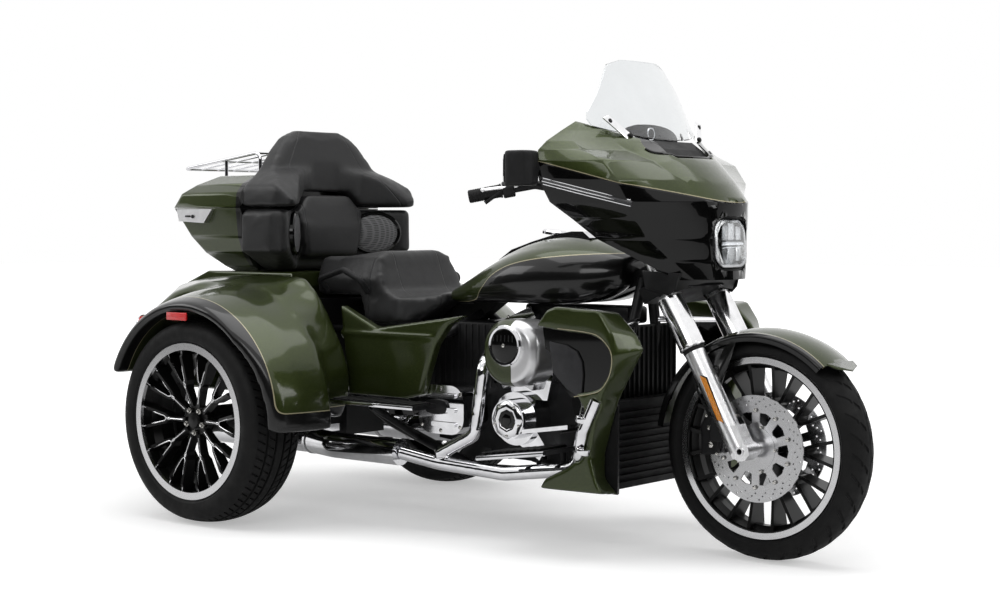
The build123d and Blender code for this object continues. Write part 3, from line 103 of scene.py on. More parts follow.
class Graph:
    """Wires the shader nodes of one material."""

    def __init__(self, name: str) -> None:
        """Starts a material.

        Args:
            name: What the material is called.
        """
        self.material = bpy.data.materials.new(name)
        self.material.use_nodes = True
        self.tree = self.material.node_tree
        self.shader = self.tree.nodes["Principled BSDF"]
        self.place = self.tree.nodes.new("ShaderNodeTexCoord").outputs["Object"]
        split = self.tree.nodes.new("ShaderNodeSeparateXYZ")
        self.tree.links.new(self.place, split.inputs[0])
        self.x, self.y, self.z = split.outputs

    def put(self, socket: Socket, value: Socket | float | Sequence[float]) -> None:
        """Links a socket to another, or sets its number.

        Args:
            socket: The socket to feed.
            value: What it gets: a socket, a number or several numbers.
        """
        if isinstance(value, bpy.types.NodeSocket):
            self.tree.links.new(value, socket)
        else:
            socket.default_value = value

    def math(self, operation: str, *values: Socket | float) -> Socket:
        """One Math node.

        Args:
            operation: The node's operation.
            values: Its inputs, sockets or numbers.

        Returns:
            The result's socket.
        """
        node = self.tree.nodes.new("ShaderNodeMath")
        node.operation = operation
        for socket, value in zip(node.inputs, values):
            self.put(socket, value)
        return node.outputs[0]

    def step(self, value: Socket, low: float, high: float) -> Socket:
        """Goes smoothly from 0 at low to 1 at high.

        Args:
            value: The socket to follow.
            low: Where the rise starts.
            high: Where it ends.

        Returns:
            The smooth step's socket.
        """
        node = self.tree.nodes.new("ShaderNodeMapRange")
        node.interpolation_type = "SMOOTHSTEP"
        self.put(node.inputs[0], value)
        node.inputs[1].default_value = low
        node.inputs[2].default_value = high
        return node.outputs[0]

    def remap(self, value: Socket, low: float, high: float, to_low: float, to_high: float) -> Socket:
        """Maps one range on another, held at its ends.

        Args:
            value: The socket to map.
            low: The first range's low end.
            high: The first range's high end.
            to_low: What the low end becomes.
            to_high: What the high end becomes.

        Returns:
            The mapped value's socket.
        """
        node = self.tree.nodes.new("ShaderNodeMapRange")
        for socket, number in zip(node.inputs, (value, low, high, to_low, to_high)):
            self.put(socket, number)
        return node.outputs[0]

    def noise(self, scale: float, detail: float = 3.0, stretch: Triple | None = None) -> Socket:
        """Noise on object coordinates, stretched if asked.

        Args:
            scale: How fine it is.
            detail: How many finer layers it has.
            stretch: Scale along each axis, if it is stretched.

        Returns:
            The noise's socket.
        """
        node = self.tree.nodes.new("ShaderNodeTexNoise")
        node.inputs["Scale"].default_value = scale
        node.inputs["Detail"].default_value = detail
        self.put(node.inputs["Vector"], self.stretched(stretch) if stretch else self.place)
        return node.outputs["Fac"]

    def cells(self, scale: float, output: str = "Distance") -> Socket:
        """Voronoi cells on object coordinates.

        Args:
            scale: How fine they are.
            output: The output that is read.

        Returns:
            The chosen output's socket.
        """
        node = self.tree.nodes.new("ShaderNodeTexVoronoi")
        node.inputs["Scale"].default_value = scale
        self.put(node.inputs["Vector"], self.place)
        return node.outputs[output]

    def stretched(self, scale: Triple) -> Socket:
        """Object coordinates, scaled along each axis.

        Args:
            scale: Scale along each axis.

        Returns:
            The scaled coordinates' socket.
        """
        node = self.tree.nodes.new("ShaderNodeMapping")
        node.inputs["Scale"].default_value = scale
        self.put(node.inputs["Vector"], self.place)
        return node.outputs[0]

    def mix(self, factor: Socket | float, first: Socket | Triple, second: Socket | Triple) -> Socket:
        """Mixes two colours.

        Args:
            factor: How much of the second shows.
            first: The first colour.
            second: The second colour.

        Returns:
            The mixed colour's socket.
        """
        node = self.tree.nodes.new("ShaderNodeMix")
        node.data_type = "RGBA"
        self.put(node.inputs["Factor"], factor)
        for socket, value in ((node.inputs[6], first), (node.inputs[7], second)):
            self.put(socket, value if isinstance(value, bpy.types.NodeSocket) else (*value, 1.0))
        return node.outputs[2]

    def curve(self, value: Socket, points: Sequence[Pair]) -> Socket:
        """Follows a line through points, given as metres along and metres across.

        Args:
            value: The coordinate along.
            points: The line's points, in rising order.

        Returns:
            The coordinate across.
        """
        low, high = points[0][0], points[-1][0]
        floor, roof = min(p[1] for p in points), max(p[1] for p in points)
        roof = max(roof, floor + 1e-4)
        node = self.tree.nodes.new("ShaderNodeFloatCurve")
        line = node.mapping.curves[0]
        while len(line.points) < len(points):
            line.points.new(0.5, 0.5)
        for knot, (along, across) in zip(line.points, points):
            knot.location = ((along - low) / (high - low), (across - floor) / (roof - floor))
        node.mapping.update()
        self.put(node.inputs["Value"], self.remap(value, low, high, 0.0, 1.0))
        return self.remap(node.outputs[0], 0.0, 1.0, floor, roof)

    def radius(self, x: float, z: float) -> Socket:
        """Distance from a line along Y, in metres."""
        dx, dz = self.math("SUBTRACT", self.x, x), self.math("SUBTRACT", self.z, z)
        squares = self.math("ADD", self.math("MULTIPLY", dx, dx), self.math("MULTIPLY", dz, dz))
        return self.math("SQRT", squares)

    def set(self, **inputs: Socket | float | Sequence[float]) -> None:
        """Sets or links the shader's inputs, named with underscores for spaces.

        Args:
            inputs: Sockets, numbers or colours by input name.
        """
        for name, value in inputs.items():
            socket = self.shader.inputs[name.replace("_", " ")]
            if isinstance(value, Sequence) and len(value) == 3:
                value = (*value, 1.0)
            self.put(socket, value)

    def bump(self, height: Socket, depth: float, strength: float = 1.0) -> None:
        """Raises the surface by a height of 0 to 1.

        Args:
            height: The height's socket.
            depth: Metres that a height of 1 stands for.
            strength: How much of it shows.
        """
        node = self.tree.nodes.new("ShaderNodeBump")
        node.inputs["Strength"].default_value = strength
        node.inputs["Distance"].default_value = depth
        self.put(node.inputs["Height"], height)
        self.tree.links.new(node.outputs[0], self.shader.inputs["Normal"])


@dataclass(frozen=True)
class Border:
    """Where black paint meets olive on a panel, with a thin stripe on the border.

    Attributes:
        gap: Makes a socket that is above 0 in the olive and below 0 in the black, in metres.
        stripe: Half the stripe's width, in metres.
    """

    gap: Callable[[Graph], Socket]
    stripe: float = 0.0014


@dataclass(frozen=True)
class Paint:
    """Metallic olive paint under clear lacquer, with black zones where a border asks for them."""

    name: str
    border: Border | None = None
    olive: Triple = (0.027, 0.037, 0.009)
    glint: Triple = (0.086, 0.110, 0.033)
    black: Triple = (0.003, 0.003, 0.003)
    tan: Triple = (0.34, 0.31, 0.20)
    metal: float = 0.62
    dark_metal: float = 0.0

    def make(self) -> Material:
        """Builds the material.

        Returns:
            The material.
        """
        graph = Graph(self.name)
        flake = graph.math("MULTIPLY", graph.cells(1400.0, "Color"), graph.noise(900.0, 1.0))
        colour = graph.mix(graph.step(flake, 0.30, 0.62), self.olive, self.glint)
        cloud = graph.step(graph.noise(3.0), 0.35, 0.7)
        colour = graph.mix(graph.math("MULTIPLY", cloud, 0.10), colour, (0.03, 0.038, 0.013))
        metallic: Socket | float = self.metal
        if self.border:
            gap = self.border.gap(graph)
            dark = graph.math("LESS_THAN", gap, 0.0)
            line = graph.math("LESS_THAN", graph.math("ABSOLUTE", gap), self.border.stripe)
            colour = graph.mix(dark, colour, self.black)
            colour = graph.mix(line, colour, self.tan)
            metallic = graph.remap(dark, 0.0, 1.0, self.metal, self.dark_metal)
        graph.set(Base_Color=colour, Metallic=metallic, Coat_Weight=1.0, Coat_Roughness=0.09, Coat_IOR=1.38)
        graph.set(Specular_IOR_Level=0.12)
        graph.set(Roughness=graph.remap(graph.noise(60.0), 0.3, 0.7, 0.32, 0.40))
        graph.bump(graph.noise(160.0, 2.0), 0.00002, 0.3)
        return graph.material


@dataclass(frozen=True)
class Gloss:
    """Smooth lacquer or gloss plastic of one colour with a faint ripple."""

    name: str
    colour: Triple = (0.003, 0.003, 0.003)
    rough: float = 0.12
    coat: float = 1.0

    def make(self) -> Material:
        """Builds the material.

        Returns:
            The material.
        """
        graph = Graph(self.name)
        shade = graph.step(graph.noise(18.0), 0.3, 0.7)
        deep = tuple(channel * 0.8 for channel in self.colour)
        graph.set(
            Base_Color=graph.mix(shade, deep, self.colour), Coat_Weight=self.coat, Coat_Roughness=0.03,
            Coat_IOR=1.34,
        )
        graph.set(
            Roughness=graph.remap(graph.noise(40.0), 0.3, 0.7, self.rough, self.rough + 0.06),
            Specular_IOR_Level=0.06,
        )
        graph.bump(graph.noise(140.0, 2.0), 0.00002, 0.3)
        return graph.material


@dataclass(frozen=True)
class Grained:
    """Moulded plastic or powder coat with a fine pebble grain."""

    name: str
    colour: Triple = (0.009, 0.009, 0.0095)
    rough: float = 0.5
    grain: float = 1500.0
    depth: float = 0.00006
    metal: float = 0.0

    def make(self) -> Material:
        """Builds the material.

        Returns:
            The material.
        """
        graph = Graph(self.name)
        wear = graph.step(graph.noise(30.0, 5.0), 0.45, 0.75)
        light = tuple(min(1.0, channel * 1.5 + 0.004) for channel in self.colour)
        graph.set(
            Base_Color=graph.mix(graph.math("MULTIPLY", wear, 0.5), self.colour, light), Metallic=self.metal
        )
        graph.set(Specular_IOR_Level=0.2)
        graph.set(Roughness=graph.remap(graph.noise(25.0), 0.3, 0.7, self.rough - 0.05, self.rough + 0.08))
        graph.bump(graph.cells(self.grain), self.depth, 0.5)
        return graph.material


@dataclass(frozen=True)
class Metal:
    """Bare, polished or brushed metal, with the brush marks along one axis."""

    name: str
    colour: Triple = (0.80, 0.80, 0.82)
    rough: float = 0.06
    brush: Triple | None = None
    depth: float = 0.00002

    def make(self) -> Material:
        """Builds the material.

        Returns:
            The material.
        """
        graph = Graph(self.name)
        marks = graph.noise(260.0, 4.0, self.brush) if self.brush else graph.noise(22.0, 4.0)
        haze = graph.step(marks, 0.35, 0.7)
        dull = tuple(channel * 0.86 for channel in self.colour)
        graph.set(Base_Color=graph.mix(haze, self.colour, dull), Metallic=1.0)
        spread = 0.10 if self.brush else 0.03
        graph.set(Roughness=graph.remap(marks, 0.3, 0.7, self.rough, self.rough + spread))
        graph.bump(marks, self.depth, 0.25)
        return graph.material


@dataclass(frozen=True)
class Turned:
    """Metal turned or ground in circles about a wheel's axle, bright beyond one radius and dark inside it."""

    name: str
    x: float
    z: float
    bright: Triple = (0.70, 0.70, 0.71)
    dark: Triple | None = None
    edge: float = 0.0
    flank: float = 0.0
    middle: float = 0.0

    def make(self) -> Material:
        """Builds the material.

        Returns:
            The material.
        """
        graph = Graph(self.name)
        radius = graph.radius(self.x, self.z)
        rings = graph.tree.nodes.new("ShaderNodeTexNoise")
        rings.noise_dimensions = "1D"
        rings.inputs["Scale"].default_value = 1800.0
        graph.put(rings.inputs["W"], radius)
        marks = rings.outputs["Fac"]
        shade = graph.mix(graph.step(marks, 0.3, 0.7), self.bright, tuple(c * 0.8 for c in self.bright))
        graph.bump(marks, 0.00002, 0.3)
        if self.dark is None:
            graph.set(Base_Color=shade, Metallic=1.0, Roughness=graph.remap(marks, 0.3, 0.7, 0.2, 0.32))
            return graph.material
        out = graph.math("GREATER_THAN", radius, self.edge)
        side = graph.math("ABSOLUTE", graph.math("SUBTRACT", graph.y, self.middle))
        lip = graph.math("MULTIPLY", out, graph.math("GREATER_THAN", side, self.flank))
        graph.set(Base_Color=graph.mix(lip, self.dark, shade), Metallic=lip)
        graph.set(Roughness=graph.remap(lip, 0.0, 1.0, 0.30, 0.22), Specular_IOR_Level=0.25)
        return graph.material


@dataclass(frozen=True)
class Rubber:
    """Tyre rubber: dull, slightly browned, with fine sidewall rings."""

    name: str = "tyre_rubber"
    x: float = 0.0
    z: float = 0.0

    def make(self) -> Material:
        """Builds the material.

        Returns:
            The material.
        """
        graph = Graph(self.name)
        radius = graph.radius(self.x, self.z)
        rings = graph.math("SINE", graph.math("MULTIPLY", radius, 2600.0))
        dust = graph.step(graph.noise(14.0, 6.0), 0.4, 0.75)
        graph.set(
            Base_Color=graph.mix(
                graph.math("MULTIPLY", dust, 0.6), (0.003, 0.003, 0.0032), (0.009, 0.0088, 0.0085)
            )
        )
        graph.set(Roughness=graph.remap(graph.noise(50.0), 0.3, 0.7, 0.52, 0.68), Specular_IOR_Level=0.2)
        mixed = graph.math("ADD", graph.math("MULTIPLY", rings, 0.25), graph.noise(900.0, 2.0))
        graph.bump(mixed, 0.00015, 0.35)
        return graph.material


@dataclass(frozen=True)
class Leather:
    """Black seat leather with a pebbled grain, faint creases and sewn seams along planes."""

    name: str
    seams: tuple[Callable[[Graph], Socket], ...] = ()

    def make(self) -> Material:
        """Builds the material.

        Returns:
            The material.
        """
        graph = Graph(self.name)
        pebble = graph.cells(420.0)
        crease = graph.noise(38.0, 6.0)
        height = graph.math("ADD", graph.math("MULTIPLY", pebble, 0.5), graph.math("MULTIPLY", crease, 0.35))
        for seam in self.seams:
            gap = graph.math("ABSOLUTE", seam(graph))
            furrow = graph.step(gap, 0.0, 0.0035)
            height = graph.math("ADD", height, graph.math("MULTIPLY", furrow, 4.0))
        shade = graph.step(pebble, 0.1, 0.7)
        graph.set(Base_Color=graph.mix(shade, (0.006, 0.006, 0.0063), (0.013, 0.013, 0.0136)))
        graph.set(
            Roughness=graph.remap(crease, 0.3, 0.7, 0.38, 0.52), Sheen_Weight=0.03, Specular_IOR_Level=0.38
        )
        graph.bump(height, 0.0006, 0.55)
        return graph.material


@dataclass(frozen=True)
class Lens:
    """Clear or coloured lamp plastic, ribbed inside."""

    name: str
    colour: Triple = (0.95, 0.97, 0.98)
    clear: float = 1.0
    rough: float = 0.04
    ribs: float = 0.0

    def make(self) -> Material:
        """Builds the material.

        Returns:
            The material.
        """
        graph = Graph(self.name)
        tone = graph.mix(graph.noise(12.0), self.colour, tuple(c * 0.9 for c in self.colour))
        graph.set(
            Base_Color=tone, Transmission_Weight=self.clear, IOR=1.45, Coat_Weight=0.6, Coat_Roughness=0.02
        )
        graph.set(Roughness=graph.remap(graph.noise(20.0), 0.3, 0.7, self.rough, self.rough + 0.02))
        if self.ribs:
            waves = graph.math("SINE", graph.math("MULTIPLY", graph.z, self.ribs))
            cross = graph.math("SINE", graph.math("MULTIPLY", graph.x, self.ribs))
            graph.bump(graph.math("ADD", waves, cross), 0.0006, 0.6)
        return graph.material


@dataclass(frozen=True)
class Grille:
    """Black grille cloth with round holes in rows."""

    name: str
    pitch: float = 0.006

    def make(self) -> Material:
        """Builds the material.

        Returns:
            The material.
        """
        graph = Graph(self.name)
        turn = 2 * math.pi / self.pitch
        rows = graph.math("SINE", graph.math("MULTIPLY", graph.z, turn))
        along = graph.math(
            "SINE", graph.math("MULTIPLY", graph.math("SUBTRACT", graph.x, graph.y), turn * 0.7)
        )
        hole = graph.step(graph.math("MULTIPLY", rows, along), 0.25, 0.5)
        graph.set(Base_Color=graph.mix(hole, (0.13, 0.13, 0.134), (0.006, 0.006, 0.006)), Roughness=0.45)
        graph.bump(graph.math("SUBTRACT", 1.0, hole), 0.0008, 0.8)
        return graph.material


class Shop:
    """The finishes in use, each made once."""

    def __init__(self) -> None:
        """Starts with no finish made."""
        self.made: dict[str, Material] = {}

    def get(
        self, finish: Paint | Gloss | Grained | Metal | Turned | Rubber | Leather | Lens | Grille
    ) -> Material:
        """The material of a finish, made on first use.

        Args:
            finish: The finish that is asked for.

        Returns:
            Its material.
        """
        if finish.name not in self.made:
            self.made[finish.name] = finish.make()
        return self.made[finish.name]


BLACK_GLOSS = Gloss("gloss_black")
BLACK_SATIN = Grained("satin_black", (0.006, 0.006, 0.0065), 0.38, 2200.0, 0.00003)
BLACK_PLASTIC = Grained("grained_plastic")
BLACK_ENGINE = Grained("engine_black", (0.010, 0.010, 0.0105), 0.42, 1800.0, 0.00005, 0.3)
CHROME = Metal("chrome")
CAST = Metal("cast_silver", (0.52, 0.52, 0.53), 0.26, None, 0.00008)
SLIDER = Metal("satin_aluminium", (0.88, 0.88, 0.89), 0.26, (1.0, 1.0, 0.06))
SLEEVE = Metal("sleeve_chrome", (0.94, 0.94, 0.95), 0.13)
LATCH = Metal("latch_chrome", (0.97, 0.97, 0.98), 0.42)
STRIPE = Gloss("stripe_tan", (0.34, 0.31, 0.20), 0.3)
MACHINED = Metal("machined_edge", (0.74, 0.74, 0.75), 0.2, (0.2, 1.0, 0.2))
SCREW = Metal("zinc_screw", (0.62, 0.61, 0.58), 0.2)
OLIVE = Paint("olive_plain")
AMBER = Lens("amber_reflector", (0.95, 0.33, 0.02), 0.25, 0.08, 1200.0)
RED = Lens("red_lens", (0.72, 0.010, 0.012), 0.08, 0.06, 1100.0)
CLEAR = Lens("clear_lens")
SCREEN = Lens("screen_plastic", (0.86, 0.88, 0.89), 1.0, 0.0)
GRILLE = Grille("speaker_cloth")
RUBBER_PAD = Grained("pad_rubber", (0.007, 0.007, 0.007), 0.6, 900.0, 0.0001)


# The modelling bench


@dataclass
class Bench:
    """Where every sub-assembly shapes primitives with the edit tools, finishes them and hands them to a body.

    Attributes:
        shop: Where finishes come from.
        nodes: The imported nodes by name.
    """

    shop: Shop
    nodes: dict[str, Shape]

    def clear(self) -> None:
        """Leaves edit mode and deselects everything."""
        if bpy.context.mode != "OBJECT":
            bpy.ops.object.mode_set(mode="OBJECT")
        bpy.ops.object.select_all(action="DESELECT")

    def pick(self, shape: Shape) -> None:
        """Selects one object alone and makes it active.

        Args:
            shape: The shape to work on.
        """
        self.clear()
        shape.select_set(True)
        bpy.context.view_layer.objects.active = shape

    def settle(self, shape: Shape) -> Shape:
        """Puts the object's place, turn and scale into its mesh.

        Args:
            shape: The shape to work on.

        Returns:
            The same shape.
        """
        self.pick(shape)
        bpy.ops.object.transform_apply(location=True, rotation=True, scale=True)
        return shape

    def tidy(self, shape: Shape, reach: float = 1e-5) -> Shape:
        """Merges doubled points and turns all faces outwards.

        Args:
            shape: The shape to work on.
            reach: Points closer than this are merged, in metres.

        Returns:
            The same shape.
        """
        self.pick(shape)
        bpy.ops.object.mode_set(mode="EDIT")
        bpy.ops.mesh.select_all(action="SELECT")
        bpy.ops.mesh.remove_doubles(threshold=reach)
        bpy.ops.mesh.normals_make_consistent(inside=False)
        bpy.ops.object.mode_set(mode="OBJECT")
        return shape

    def modify(self, shape: Shape, kind: str, **settings: object) -> Shape:
        """Adds a modifier, sets it and applies it.

        Args:
            shape: The shape to work on.
            kind: The modifier's type.
            settings: Its settings by name.

        Returns:
            The same shape.
        """
        self.pick(shape)
        modifier = shape.modifiers.new(kind.lower(), kind)
        for name, value in settings.items():
            setattr(modifier, name, value)
        bpy.ops.object.modifier_apply(modifier=modifier.name)
        return shape

    def twin(self, source: Shape, name: str) -> Shape:
        """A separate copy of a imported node's mesh.

        Args:
            source: The node to copy.
            name: What the copy is called.

        Returns:
            The copy.
        """
        shape = bpy.data.objects.new(name, source.data.copy())
        bpy.context.scene.collection.objects.link(shape)
        return shape

    def even(self, shape: Shape, voxel: float, rounds: int) -> Shape:
        """Remeshes a shape evenly and eases its surface."""
        self.modify(shape, "REMESH", mode="VOXEL", voxel_size=voxel * MM)
        return self.modify(shape, "SMOOTH", factor=0.5, iterations=rounds)

    def soften(self, shape: Shape, width: float, steps: int = 2, angle: float = 35.0) -> Shape:
        """Bevels the sharp edges by a width in millimetres.

        Args:
            shape: The shape to work on.
            width: The bevel's width, in millimetres.
            steps: Faces across the bevel.
            angle: Edges sharper than this many degrees are bevelled.

        Returns:
            The same shape.
        """
        turn = math.radians(angle)
        return self.modify(
            shape, "BEVEL", width=width * MM, segments=steps, limit_method="ANGLE", angle_limit=turn
        )

    def rod(
        self, start: Vector, end: Vector, radius: float, top: float | None = None, sides: int = 24
    ) -> Shape:
        """A round bar between two points.

        Args:
            start: One end, in metres.
            end: The other end.
            radius: Radius at the start, in millimetres.
            top: Radius at the end, if it differs.
            sides: Faces round it.

        Returns:
            The bar, with its ends' edges rounded.
        """
        way = end - start
        top = radius if top is None else top
        self.clear()
        bpy.ops.mesh.primitive_cone_add(
            vertices=sides, radius1=radius * MM, radius2=top * MM, depth=way.length,
            location=(start + end) / 2, rotation=way.to_track_quat("Z", "Y").to_euler(),
        )
        shape = self.settle(bpy.context.object)
        return self.soften(shape, min(radius * 0.15, way.length / MM * 0.2), 2, 50.0)

    def block(self, low: Triple, high: Triple, soft: float = 2.0) -> Shape:
        """A box between two corners in millimetres, its edges rounded.

        Args:
            low: One corner, in millimetres.
            high: The opposite corner.
            soft: Width of the edges' bevel.

        Returns:
            The box.
        """
        a, b = mm(*low), mm(*high)
        self.clear()
        bpy.ops.mesh.primitive_cube_add(size=1.0, location=(a + b) / 2, scale=b - a)
        return self.soften(self.settle(bpy.context.object), soft)

    def plate(self, outline: Sequence[Triple], depth: Triple, soft: float = 1.0) -> Shape:
        """A flat outline in millimetres, extruded along a vector and edge-rounded.

        Args:
            outline: The outline's points, in millimetres.
            depth: Which way and how far it is extruded.
            soft: Width of the edges' bevel, or 0 for sharp edges.

        Returns:
            The plate.
        """
        self.clear()
        bpy.ops.mesh.primitive_circle_add(vertices=len(outline), radius=1.0, fill_type="NGON")
        shape = bpy.context.object
        for vertex, point in zip(shape.data.vertices, outline):
            vertex.co = mm(*point)
        bpy.ops.object.mode_set(mode="EDIT")
        bpy.ops.mesh.select_all(action="SELECT")
        bpy.ops.mesh.extrude_region_move(TRANSFORM_OT_translate={"value": tuple(mm(*depth))})
        bpy.ops.object.mode_set(mode="OBJECT")
        self.tidy(shape)
        return self.soften(shape, soft) if soft else shape

    def lathe(
        self, profile: Sequence[Pair], centre: Vector, axis: Vector, steps: int = 48, shut: bool = False
    ) -> Shape:
        """Spins a profile of (radius, height) in millimetres round an axis.

        Args:
            profile: The profile's points.
            centre: Where height 0 is, in metres.
            axis: The axis' direction.
            steps: Faces round it.
            shut: Whether the profile is a closed loop.

        Returns:
            The turned shape.
        """
        axis = axis.normalized()
        out = axis.orthogonal().normalized()
        self.clear()
        bpy.ops.mesh.primitive_circle_add(vertices=len(profile), radius=1.0, fill_type="NOTHING")
        shape = bpy.context.object
        for vertex, (radius, height) in zip(shape.data.vertices, profile):
            vertex.co = centre + axis * height * MM + out * radius * MM
        last = len(profile) - 1
        bpy.ops.object.mode_set(mode="EDIT")
        if not shut:
            bpy.ops.mesh.select_all(action="DESELECT")
            bpy.ops.object.mode_set(mode="OBJECT")
            for edge in shape.data.edges:
                edge.select = set(edge.vertices) == {0, last}
            bpy.ops.object.mode_set(mode="EDIT")
            bpy.ops.mesh.select_mode(type="EDGE")
            bpy.ops.mesh.delete(type="EDGE")
            bpy.ops.mesh.select_mode(type="VERT")
        bpy.ops.mesh.select_all(action="SELECT")
        bpy.ops.mesh.spin(steps=steps, angle=2 * math.pi, center=centre, axis=axis)
        bpy.ops.object.mode_set(mode="OBJECT")
        return self.tidy(shape, 2e-5)

    def pipe(self, path: Sequence[Triple], radius: float, smooth: bool = True, sides: int = 3) -> Shape:
        """A round tube along a path in millimetres, closed at both ends.

        Args:
            path: Points of its middle line, in millimetres.
            radius: Its radius, in millimetres.
            smooth: Whether it runs in a curve past the points.
            sides: How round its section is.

        Returns:
            The tube.
        """
        self.clear()
        bpy.ops.curve.primitive_nurbs_path_add()
        shape = bpy.context.object
        curve = shape.data
        curve.splines.clear()
        spline = curve.splines.new("NURBS" if smooth else "POLY")
        spline.points.add(len(path) - 1)
        for knot, point in zip(spline.points, path):
            knot.co = (*mm(*point), 1.0)
        if smooth:
            spline.order_u = 3
            spline.use_endpoint_u = True
        curve.resolution_u = 8
        curve.bevel_depth = radius * MM
        curve.bevel_resolution = sides
        curve.use_fill_caps = True
        bpy.ops.object.convert(target="MESH")
        return self.settle(bpy.context.object)

    def patch(self, columns: int, rows: int, place: Callable[[float, float], Vector]) -> Shape:
        """A grid whose points are each put in place, with u and v from 0 to 1.

        Args:
            columns: Faces along u.
            rows: Faces along v.
            place: Gives a point's place from u and v.

        Returns:
            The grid.
        """
        self.clear()
        bpy.ops.mesh.primitive_grid_add(x_subdivisions=columns, y_subdivisions=rows, size=1.0)
        shape = bpy.context.object
        for vertex in shape.data.vertices:
            vertex.co = place(vertex.co.x + 0.5, vertex.co.y + 0.5)
        return shape

    def ball(self, centre: Vector, radii: Triple, sides: int = 16) -> Shape:
        """A rounded knob, squashed to three radii in millimetres.

        Args:
            centre: Its middle, in metres.
            radii: Its radii along X, Y and Z, in millimetres.
            sides: Faces round it.

        Returns:
            The knob.
        """
        self.clear()
        bpy.ops.mesh.primitive_uv_sphere_add(
            segments=sides, ring_count=sides // 2, radius=1.0, location=centre
        )
        shape = bpy.context.object
        shape.scale = mm(*radii)
        return self.settle(shape)

    def copy(self, shape: Shape, move: Matrix) -> Shape:
        """A copy with its own mesh, moved by a matrix.

        Args:
            shape: The shape to work on.
            move: How the copy is moved.

        Returns:
            The copy.
        """
        twin = shape.copy()
        twin.data = shape.data.copy()
        bpy.context.scene.collection.objects.link(twin)
        twin.data.transform(move)
        if move.determinant() < 0:
            twin.data.flip_normals()
        return twin

    def around(
        self, shape: Shape, centre: Vector, axis: Vector, count: int, start: float = 0.0
    ) -> list[Shape]:
        """Copies of a shape set round an axis, the first turned by start degrees.

        Args:
            shape: The shape to work on.
            centre: A point on the axis, in metres.
            axis: The axis' direction.
            count: How many copies there are.
            start: Degrees that the first one is turned.

        Returns:
            The copies.
        """
        shapes = []
        for i in range(count):
            turn = Matrix.Rotation(math.radians(start + 360.0 / count * i), 4, axis)
            shapes.append(self.copy(shape, Matrix.Translation(centre) @ turn @ Matrix.Translation(-centre)))
        bpy.data.objects.remove(shape)
        return shapes

    def both(self, shapes: Iterable[Shape]) -> list[Shape]:
        """The shapes and their mirror images on the machine's other side.

        Args:
            shapes: The shapes on one side.

        Returns:
            The shapes and their mirror images.
        """
        found = list(shapes)
        flip = Matrix.Scale(-1, 4, (0, 1, 0))
        return found + [self.copy(shape, flip) for shape in found]

    def join(self, shapes: Sequence[Shape]) -> Shape:
        """Joins shapes into the first of them.

        Args:
            shapes: The shapes to join.

        Returns:
            The joined shape.
        """
        if len(shapes) > 1:
            self.clear()
            for shape in shapes:
                shape.select_set(True)
            bpy.context.view_layer.objects.active = shapes[0]
            bpy.ops.object.join()
        return shapes[0]

    def cut(self, shape: Shape, tool: Shape) -> Shape:
        """Takes one shape out of another.

        Args:
            shape: The shape to work on.
            tool: The shape to take away, which is used up.

        Returns:
            The shape that is left.
        """
        self.modify(shape, "BOOLEAN", object=tool, operation="DIFFERENCE")
        bpy.data.objects.remove(tool)
        return shape

    def paint(self, finish: object, *names: str) -> None:
        """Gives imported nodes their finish.

        Args:
            finish: What they get.
            names: The nodes to colour.
        """
        material = self.shop.get(finish)
        for name in names:
            mesh = self.nodes[name].data
            mesh.materials.clear()
            mesh.materials.append(material)
            log.info("node %s: %s", name, material.name)

    def hand_in(
        self, name: str, shapes: Shape | Sequence[Shape], finish: object, body: Body, slot: str,
        smooth: float = 35.0,
    ) -> Shape:
        """Joins, names, colours and hands a piece to its body.

        Args:
            name: The piece's name.
            shapes: One shape, or several that become one.
            finish: Its finish.
            body: The body it rides on.
            slot: The record's material slot; not used.
            smooth: Edges under this many degrees are smoothed.

        Returns:
            The finished piece.
        """
        piece = self.join([shapes] if isinstance(shapes, bpy.types.Object) else list(shapes))
        piece.name = name
        piece.data.name = name
        piece.data.materials.clear()
        piece.data.materials.append(self.shop.get(finish))
        self.pick(piece)
        bpy.ops.object.shade_smooth_by_angle(angle=math.radians(smooth))
        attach(piece, body.value)
        log.info("piece %s on %s: %d faces", name, body.value, len(piece.data.polygons))
        return piece


# The studio


